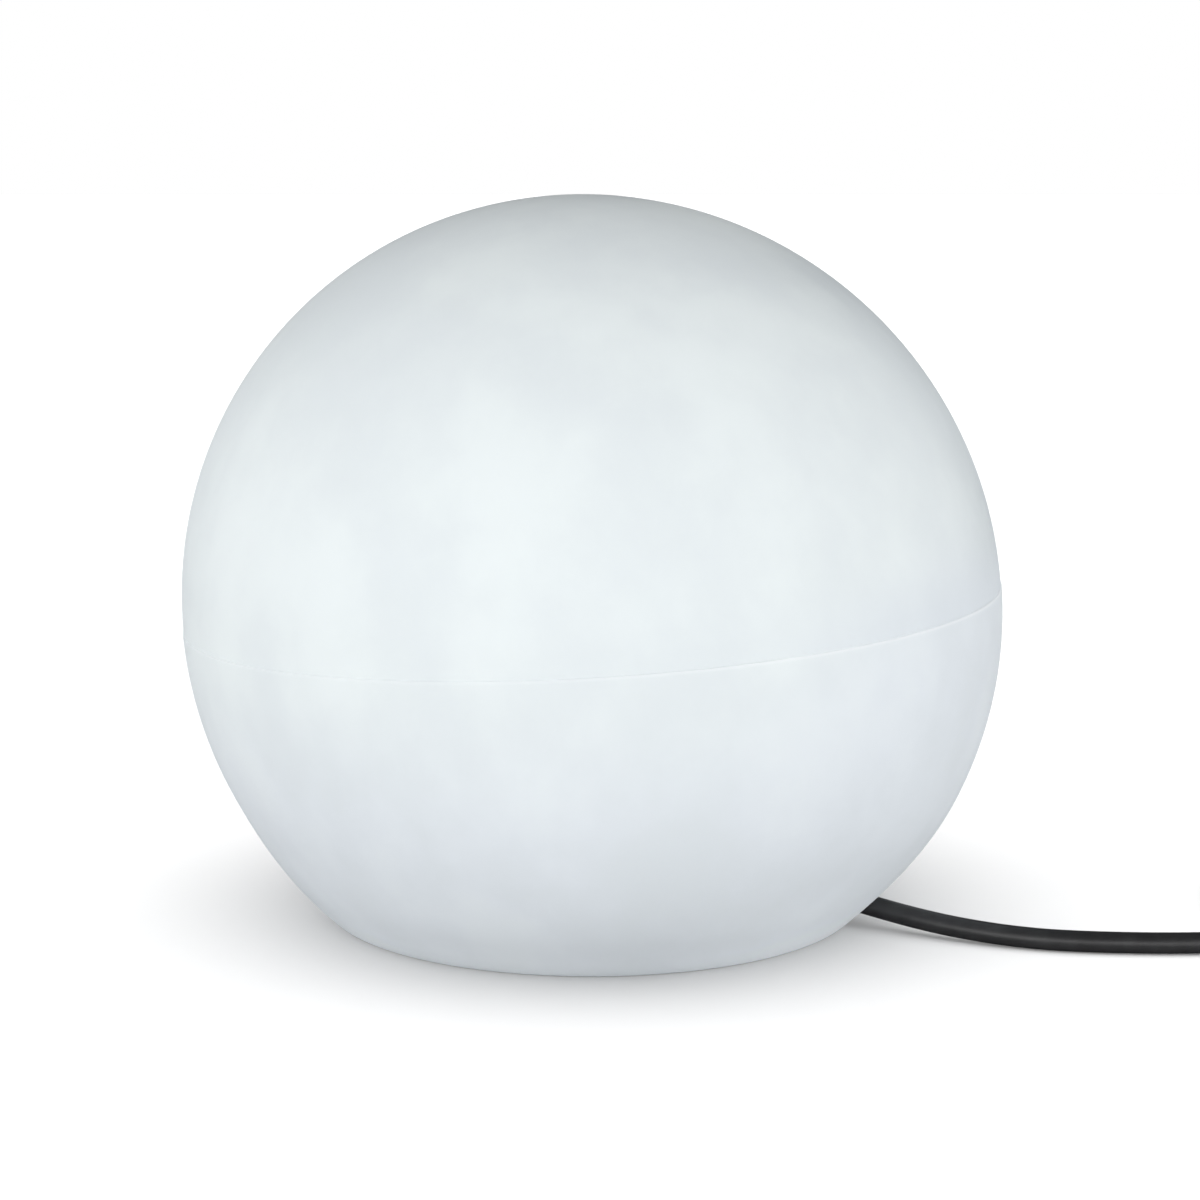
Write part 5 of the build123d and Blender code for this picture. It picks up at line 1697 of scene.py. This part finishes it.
# --- mains lead ---
@dataclass
class MainsLead:
    """The free lead with its put-away coil, straps, strain relief and plug."""

    cable_radius: float = 3.8 * MM
    length: float = 2.99
    axis_z: float = 15.5 * MM
    chamber_face: float = 40 * MM
    # (reach from the globe's axis, height), on the way out
    way_out: Corners = ((20 * MM, 15.5 * MM), (48 * MM, 15.5 * MM), (69 * MM, 15.5 * MM),
                        (100 * MM, 8.3 * MM))
    # points on the floor, in millimetres
    on_floor: Corners = ((124.0, -49.0, 5.0), (152.0, -62.5, 3.8), (178.0, -68.2, 3.8),
                         (214.0, -69.8, 3.8), (260.0, -66.0, 4.7), (294.4, -66.0, 4.7))
    coil_centre: tuple[float, float] = (302.0 * MM, -0.225 * MM)
    coil_inner: float = 27.3 * MM
    pitch: float = 8.1 * MM
    inward_turns: float = 4.5
    climb_turns: float = 0.5
    outward_turns: float = 4.25
    corners_per_turn: int = 16
    layer_one_z: float = 4.7 * MM
    strap_azimuths: tuple[int, int] = (75, 195)
    strap_reach: tuple[float, float] = (21.9 * MM, 70.5 * MM)
    strap_height: float = 17.1 * MM
    strap_half: float = 4.5 * MM
    strap_corner: float = 4.6 * MM
    strap_thick: float = 0.5 * MM
    strap_edge: float = 0.12 * MM
    tab_outline: Corners = ((30.0, 4.5), (56.5, 4.5), (58.3, 3.9), (59.2, 2.4), (59.5, 0.0),
                            (59.2, -2.4), (58.3, -3.9), (56.5, -4.5), (30.0, -4.5))
    relief_length: float = 32 * MM
    relief_ends: tuple[float, float] = (4.6 * MM, 7.4 * MM)
    relief_bore: float = 3.85 * MM
    relief_bays: int = 6
    plug_length: float = 38 * MM
    plug_half: tuple[float, float] = (17.5 * MM, 12.7 * MM)
    # (share of the length, share of the width, share of the height)
    plug_sections: Corners = ((0.0, 0.54, 0.72), (0.2, 0.78, 0.86), (0.42, 0.93, 0.98),
                              (0.64, 1.0, 1.0), (1.0, 1.0, 1.0))
    plug_rings: int = 120
    plug_corners: int = 96
    grip_depth: float = 0.6 * MM
    grip_pitch: float = 3.2 * MM
    gripped: tuple[float, float] = (0.3, 0.72)
    pin_aside: float = 9.5 * MM
    socket_section: Corners = ((0.0, 29.9), (2.45, 29.9), (2.45, 37.6), (2.9, 38.1), (0.0, 38.1))
    pin_section: Corners = ((0.0, 0.0), (2.4, 0.0), (2.4, 15.0), (2.4, 25.6, 1.0), (1.5, 27.0, 0.8),
                            (0.0, 27.0))
    pin_root: float = 62 * MM

    def route(self) -> list[Vector]:
        """The points from the cut jacket to the coil."""
        out = [TO_EXIT @ Vector((reach, 0, height)) for reach, height in self.way_out]
        return out + [Vector(point) * MM for point in self.on_floor]

    def coil_corner(self, turn: float) -> Vector:
        """A control point of the coil, out by what the smooth line cuts off between two.

        Args:
            turn: How many turns from the coil's start.

        Returns:
            The point.
        """
        turning = self.inward_turns + self.climb_turns / 2
        radius = self.coil_inner + self.pitch * abs(turn - turning)
        reach = radius / cos(pi / self.corners_per_turn)
        angle = 2 * pi * (turn - 0.25)
        share = min(max((turn - self.inward_turns) / self.climb_turns, 0.0), 1.0)
        height = self.layer_one_z + self.pitch * share * share * (3 - 2 * share)
        x, y = self.coil_centre
        return Vector((x + reach * cos(angle), y + reach * sin(angle), height))

    def coil(self) -> list[Vector]:
        """The coil's control points, in from outside and out again a layer higher.

        Returns:
            The points.
        """
        turns = self.inward_turns + self.climb_turns + self.outward_turns
        count = round(turns * self.corners_per_turn)
        return [self.coil_corner((step + 0.5) / self.corners_per_turn) for step in range(count)]

    @staticmethod
    def relief_start() -> Vector:
        """Where the relief starts, on the plug's axis.

        Returns:
            The point.
        """
        relief_low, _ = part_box("plug_strain_relief")
        plug_low, plug_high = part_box("plug_body")
        middle = (plug_low + plug_high) / 2
        return Vector((middle.x, relief_low.y, middle.z))

    def cable(self) -> bpy.types.Object:
        """The lead as one smooth line of its real thickness.

        Returns:
            The object.
        """
        start = self.relief_start()
        points = self.route() + self.coil() + [start, start + Vector((0, 4 * MM, 0))]
        curve = bpy.data.curves.new("mains_lead", "CURVE")
        curve.dimensions = "3D"
        curve.bevel_depth = self.cable_radius
        curve.bevel_resolution = 6
        curve.resolution_u = 8
        curve.use_fill_caps = True
        spline = curve.splines.new("NURBS")
        spline.points.add(len(points) - 1)
        for control, point in zip(spline.points, points):
            control.co = (*point, 1.0)
        spline.order_u = 3
        spline.use_endpoint_u = True
        return linked("mains_lead", curve)

    def strap_loop(self, inset: float) -> Profile:
        """The outline of a strap round the bundle.

        Args:
            inset: How far it is drawn in.

        Returns:
            (reach from the coil's centre, height) points.
        """
        corner = self.strap_corner
        turned = corner - inset
        near, far = self.strap_reach[0] + corner, self.strap_reach[1] - corner
        low, high = corner, self.strap_height - corner
        points = []
        for side, (x, z) in enumerate(((far, high), (near, high), (near, low), (far, low))):
            for step in range(9):
                turn = pi / 2 * (side + step / 8)
                points.append((x + turned * cos(turn), z + turned * sin(turn)))
        return points

    def strap(self) -> Form:
        """A woven strap round the bundle, as a rounded loop with its end tab on top.

        Returns:
            The form.
        """
        wide, thick, edge = self.strap_half, self.strap_thick, self.strap_edge
        section = [(0.0, wide - edge), (edge, wide), (thick - edge, wide), (thick, wide - edge),
                   (thick, edge - wide), (thick - edge, -wide), (edge, -wide), (0.0, edge - wide)]
        columns = [[Vector((x, y, z)) for x, z in self.strap_loop(inset)] for inset, y in section]
        loop = Form.loft([list(ring) for ring in zip(*columns)], looped=True)
        top = self.strap_height
        levels = ((top - 0.02 * MM, 1.0), (top + 0.3 * MM, 1.0), (top + 0.4 * MM, 0.96))
        tab = [[Vector((x * MM, y * MM * share, z)) for x, y in self.tab_outline]
               for z, share in levels]
        return loop + Form.loft(tab)

    def straps(self) -> Form:
        """Both straps at their places round the coil.

        Returns:
            The form.
        """
        centre = Matrix.Translation((*self.coil_centre, 0))
        return self.strap().copies([centre @ Matrix.Rotation(radians(azimuth), 4, "Z")
                                    for azimuth in self.strap_azimuths])

    def towards_pins(self, along: float = 0.0) -> Matrix:
        """Lays a form that is lathed about Z on the plug's axis, this far from the relief's start."""
        turned = Matrix.Rotation(-pi / 2, 4, "X")
        return Matrix.Translation(self.relief_start()) @ turned @ Matrix.Translation((0, 0, along))

    def at_both_pins(self, along: float) -> list[Matrix]:
        """The two pins' places, this far from the relief's start."""
        place = self.towards_pins(along)
        return [place @ Matrix.Translation((side * self.pin_aside, 0, 0)) for side in (-1, 1)]

    def relief(self) -> Form:
        """Tapered sleeve, slotted on alternate sides so that it bends with the lead.

        Returns:
            The form.
        """
        length, (tip, root), bays = self.relief_length, self.relief_ends, self.relief_bays
        pitch = length / bays

        def shape(radius: float, along: float, angle: float) -> float:
            """The radius, cut back in the slots between two webs.

            Args:
                radius: The point's radius.
                along: Its way along the axis.
                angle: Its angle about the axis.

            Returns:
                The new radius.
            """
            number = round(along / pitch)
            off_slot = abs(along - number * pitch)
            if radius < 4.3 * MM or off_slot > 1.0 * MM or not 0 < number < bays:
                return radius
            across = abs(cos(angle) if number % 2 else sin(angle))
            return min(radius, max(3.95 * MM, 3.6 * MM / max(across, 0.2)))

        slot_edges = {number * pitch + side * half * MM for number in range(1, bays)
                      for side in (-1, 1) for half in (1.001, 0.93)}
        stations = sorted({round(step * length / 160, 7) for step in range(161)} | slot_edges)
        outside = [(tip + (root - tip) * along / length, along) for along in stations]
        profile = [(self.relief_bore, 0.25 * MM), (4.2 * MM, 0.0)] + outside[1:]
        profile.append((self.relief_bore, length))
        return Form.lathe(profile, 96, looped=True, shape=shape)

    def plug_size(self, share: float) -> tuple[float, float]:
        """The plug's size at a place between two of its sections.

        Args:
            share: The place, as a share of the length.

        Returns:
            The shares of the full width and height.
        """
        for before, after in zip(self.plug_sections, self.plug_sections[1:]):
            if before[0] <= share <= after[0]:
                part = (share - before[0]) / (after[0] - before[0])
                size = [low + (high - low) * part for low, high in zip(before[1:], after[1:])]
        return size[0], size[1]

    def plug_ring(self, share: float) -> list[Vector]:
        """One section of the plug: a rounded oblong with finger grips sunk into its flats.

        Args:
            share: Its place, as a share of the length.

        Returns:
            The section's points.
        """
        (half_width, half_height), (wide, tall) = self.plug_half, self.plug_size(share)
        along = share * self.plug_length
        drawn_in = 1 - (max(0.0, 1 - (1 - share) * self.plug_length / (1.2 * MM)) ** 2 * 0.05
                        + max(0.0, 1 - along / (1.5 * MM)) ** 2 * 0.14)
        grip = 0.0
        if self.gripped[0] < share < self.gripped[1]:
            grip = self.grip_depth * max(0.0, sin(2 * pi * along / self.grip_pitch))
        ring = []
        for corner in range(self.plug_corners):
            turn = 2 * pi * corner / self.plug_corners
            across = abs(cos(turn)) ** 0.5 * (1 if cos(turn) > 0 else -1)
            up = abs(sin(turn)) ** 0.5 * (1 if sin(turn) > 0 else -1)
            sunk = grip * max(0.0, 1 - abs(across) / 0.62) ** 0.25
            reach = up * (half_height * tall * drawn_in - sunk)
            ring.append(Vector((across * half_width * wide * drawn_in, reach, along)))
        return ring

    def plug(self) -> bpy.types.Object:
        """Moulded plug that grows from the relief to a flat face, with the pins' sockets in it.

        Returns:
            The object.
        """
        rings = [self.plug_ring(step / self.plug_rings) for step in range(self.plug_rings + 1)]
        body = Form.loft(rings).at(self.towards_pins(self.relief_length)).piece("moulded_plug")
        sockets = Form.turned(self.socket_section, 40).copies(self.at_both_pins(self.relief_length))
        return smoothed(cut(body, sockets.piece("sockets")))

    def pins(self) -> Form:
        """Two round pins with domed tips and a sleeved root."""
        return Form.turned(self.pin_section, 48).copies(self.at_both_pins(self.pin_root))

    def build(self) -> None:
        lead = deliver(self.cable(), SHEATH, Body.BASE, "cable_rubber", "cable_lead", "cable_coil")
        straps = self.straps().piece("woven_straps")
        relief = self.relief().at(self.towards_pins()).piece("bend_relief")
        others = [deliver(piece, finish, Body.BASE, slot, node) for piece, finish, slot, node in (
            (straps, STRAP, "tie_fabric", "coil_ties"),
            (relief, PLUG_RUBBER, "cable_rubber", "plug_strain_relief"),
            (self.plug(), PLUG_RUBBER, "cable_rubber", "plug_body"),
            (self.pins().piece("round_pins"), NICKEL, "plated_metal", "plug_pins"))]


# --- carried-over nodes ---
NODE_FINISHES: dict[Finish, str] = {
    BASE_MOULDING: "base_plate junction_cover cord_clamp",
    SEAL_RUBBER: "base_gasket cover_gasket gland_seal",
    ZINC: "terminal_screws",
    TERMINAL_NYLON: "terminal_block",
    BRASS: "terminal_sleeves centre_contact",
    CORE_BROWN: "core_brown lamp_wire_brown",
    CORE_BLUE: "core_blue lamp_wire_blue",
    GLAND_NYLON: "gland_locknut",
    LAMP_BOARD: "bulb_led_board bulb_driver",
}


def dress_nodes() -> None:
    """Give every CAD node that stays its finish."""
    for finish, names in NODE_FINISHES.items():
        for name in names.split():
            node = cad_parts[name]
            node.data.materials.clear()
            node.data.materials.append(finish.material())
            log.info("%s dressed as %s", name, finish.name)


# --- studio ---
@dataclass
class Studio:
    """Pale floor, soft surrounding light and the camera at the photograph's place."""

    camera_distance: float = 1.1
    camera_elevation: float = radians(9.66)
    aim: tuple[float, float, float] = (2.95 * MM, 0.0, 114.9 * MM)
    globe_centre: tuple[float, float, float] = (0.0, 0.0, 114 * MM)
    lens: float = 89.37
    sensor_width: float = 36.0
    view_depth: float = 100.0
    floor_half: float = 8.0
    floor_seen: Color = (0.55, 0.55, 0.55)
    floor_bounce: Color = (0.22, 0.22, 0.22)
    floor_glow: float = 0.12
    light_all_round: float = 0.06
    side_light: tuple[float, float] = (0.91, 0.73)
    low_light: tuple[float, float, float] = (4.12, 1.10, 1.10)
    low_band_top: float = 0.5
    shade_strength: float = 4.8
    shade_angle: float = radians(98)

    def camera(self) -> None:
        """Create the camera and look at the globe."""
        data = bpy.data.cameras.new("camera")
        data.lens = self.lens
        data.sensor_width = self.sensor_width
        data.clip_end = self.view_depth
        camera = linked("camera", data)
        back = Vector((0, -cos(self.camera_elevation), sin(self.camera_elevation)))
        camera.location = Vector(self.globe_centre) + back * self.camera_distance
        looks = Vector(self.aim) - camera.location
        camera.rotation_euler = looks.to_track_quat("-Z", "Y").to_euler()
        bpy.context.scene.camera = camera

    @staticmethod
    def switch(paint: Paint, lighting: bpy.types.Node, seen: bpy.types.Node, output: str) -> None:
        """End a studio tree: one shader lights the object, another is what the eye sees.

        Args:
            paint: The tree.
            lighting: The shader for light that reaches the object.
            seen: The shader that shows in the picture.
            output: The output node's type name.
        """
        direct = paint.signal("ShaderNodeLightPath", "Is Camera Ray")
        sockets = {0: direct, 1: lighting.outputs[0], 2: seen.outputs[0]}
        shown = paint.node("ShaderNodeMixShader", sockets=sockets)
        paint.node(output, sockets={0: shown.outputs[0]})

    def floor(self) -> None:
        """A wide pale floor that runs out to the horizon."""
        half = self.floor_half
        form = Form()
        form.points = [Vector((x * half, y * half, 0)) for x, y in ((-1, -1), (1, -1), (1, 1), (-1, 1))]
        form.faces = [(0, 1, 2, 3)]
        plane = form.piece("studio_floor")
        material = bpy.data.materials.new("studio_floor_white")
        material.use_nodes = True
        paint = Paint(material.node_tree)
        diffuse = paint.node("ShaderNodeBsdfDiffuse", sockets={0: (*self.floor_seen, 1.0)})
        bounce = paint.node("ShaderNodeBsdfDiffuse", sockets={0: (*self.floor_bounce, 1.0)})
        glow = paint.node("ShaderNodeEmission", sockets={0: WHITE, 1: self.floor_glow})
        lit, lifted = diffuse.outputs[0], glow.outputs[0]
        seen = paint.node("ShaderNodeAddShader", sockets={0: lit, 1: lifted})
        self.switch(paint, bounce, seen, "ShaderNodeOutputMaterial")
        plane.data.materials.append(material)

    def surroundings(self) -> None:
        """Light from both sides and, stronger, from a low band in front; none from above."""
        world = bpy.data.worlds.new("studio")
        world.use_nodes = True
        bpy.context.scene.world = world
        paint = Paint(world.node_tree)
        x, y, z = paint.axes(paint.signal("ShaderNodeTexCoord", "Generated"))
        left, right, front = (paint.ramp(way, 0.0, 1.0) for way in (x * -1.0, x, y * -1.0))
        low = 1.0 - paint.ramp(z, 0.0, self.low_band_top)
        beside = left * self.side_light[0] + right * self.side_light[1] + self.light_all_round
        band = front * self.low_light[0] + left * self.low_light[1] + right * self.low_light[2]
        soft = paint.node("ShaderNodeBackground", sockets={0: WHITE, 1: beside + band * low})
        backdrop = paint.node("ShaderNodeBackground", sockets={0: WHITE, 1: 1.0})
        self.switch(paint, soft, backdrop, "ShaderNodeOutputWorld")

    def floor_light(self) -> None:
        """A wide soft light from above that reaches the floor alone, for the globe's shadow."""
        data = bpy.data.lights.new("floor_light", "SUN")
        data.energy = self.shade_strength
        data.angle = self.shade_angle
        light = linked("floor_light", data)
        receivers = bpy.data.collections.new("lit_floor")
        receivers.objects.link(bpy.data.objects["studio_floor"])
        light.light_linking.receiver_collection = receivers

    def build(self) -> None:
        """Set up the whole studio."""
        bpy.context.scene.view_settings.view_transform = "Standard"
        self.camera()
        self.floor()
        self.surroundings()
        self.floor_light()


def main() -> None:
    """Build every sub-assembly, then the studio."""
    logging.basicConfig(level=logging.INFO, format="%(name)s: %(message)s")
    Studio().build()
    for assembly in (MainsLead(), Globe(), LampBase(), LampHolder(), Bulb()):
        assembly.build()
    dress_nodes()


if __name__ == "__main__":
    main()
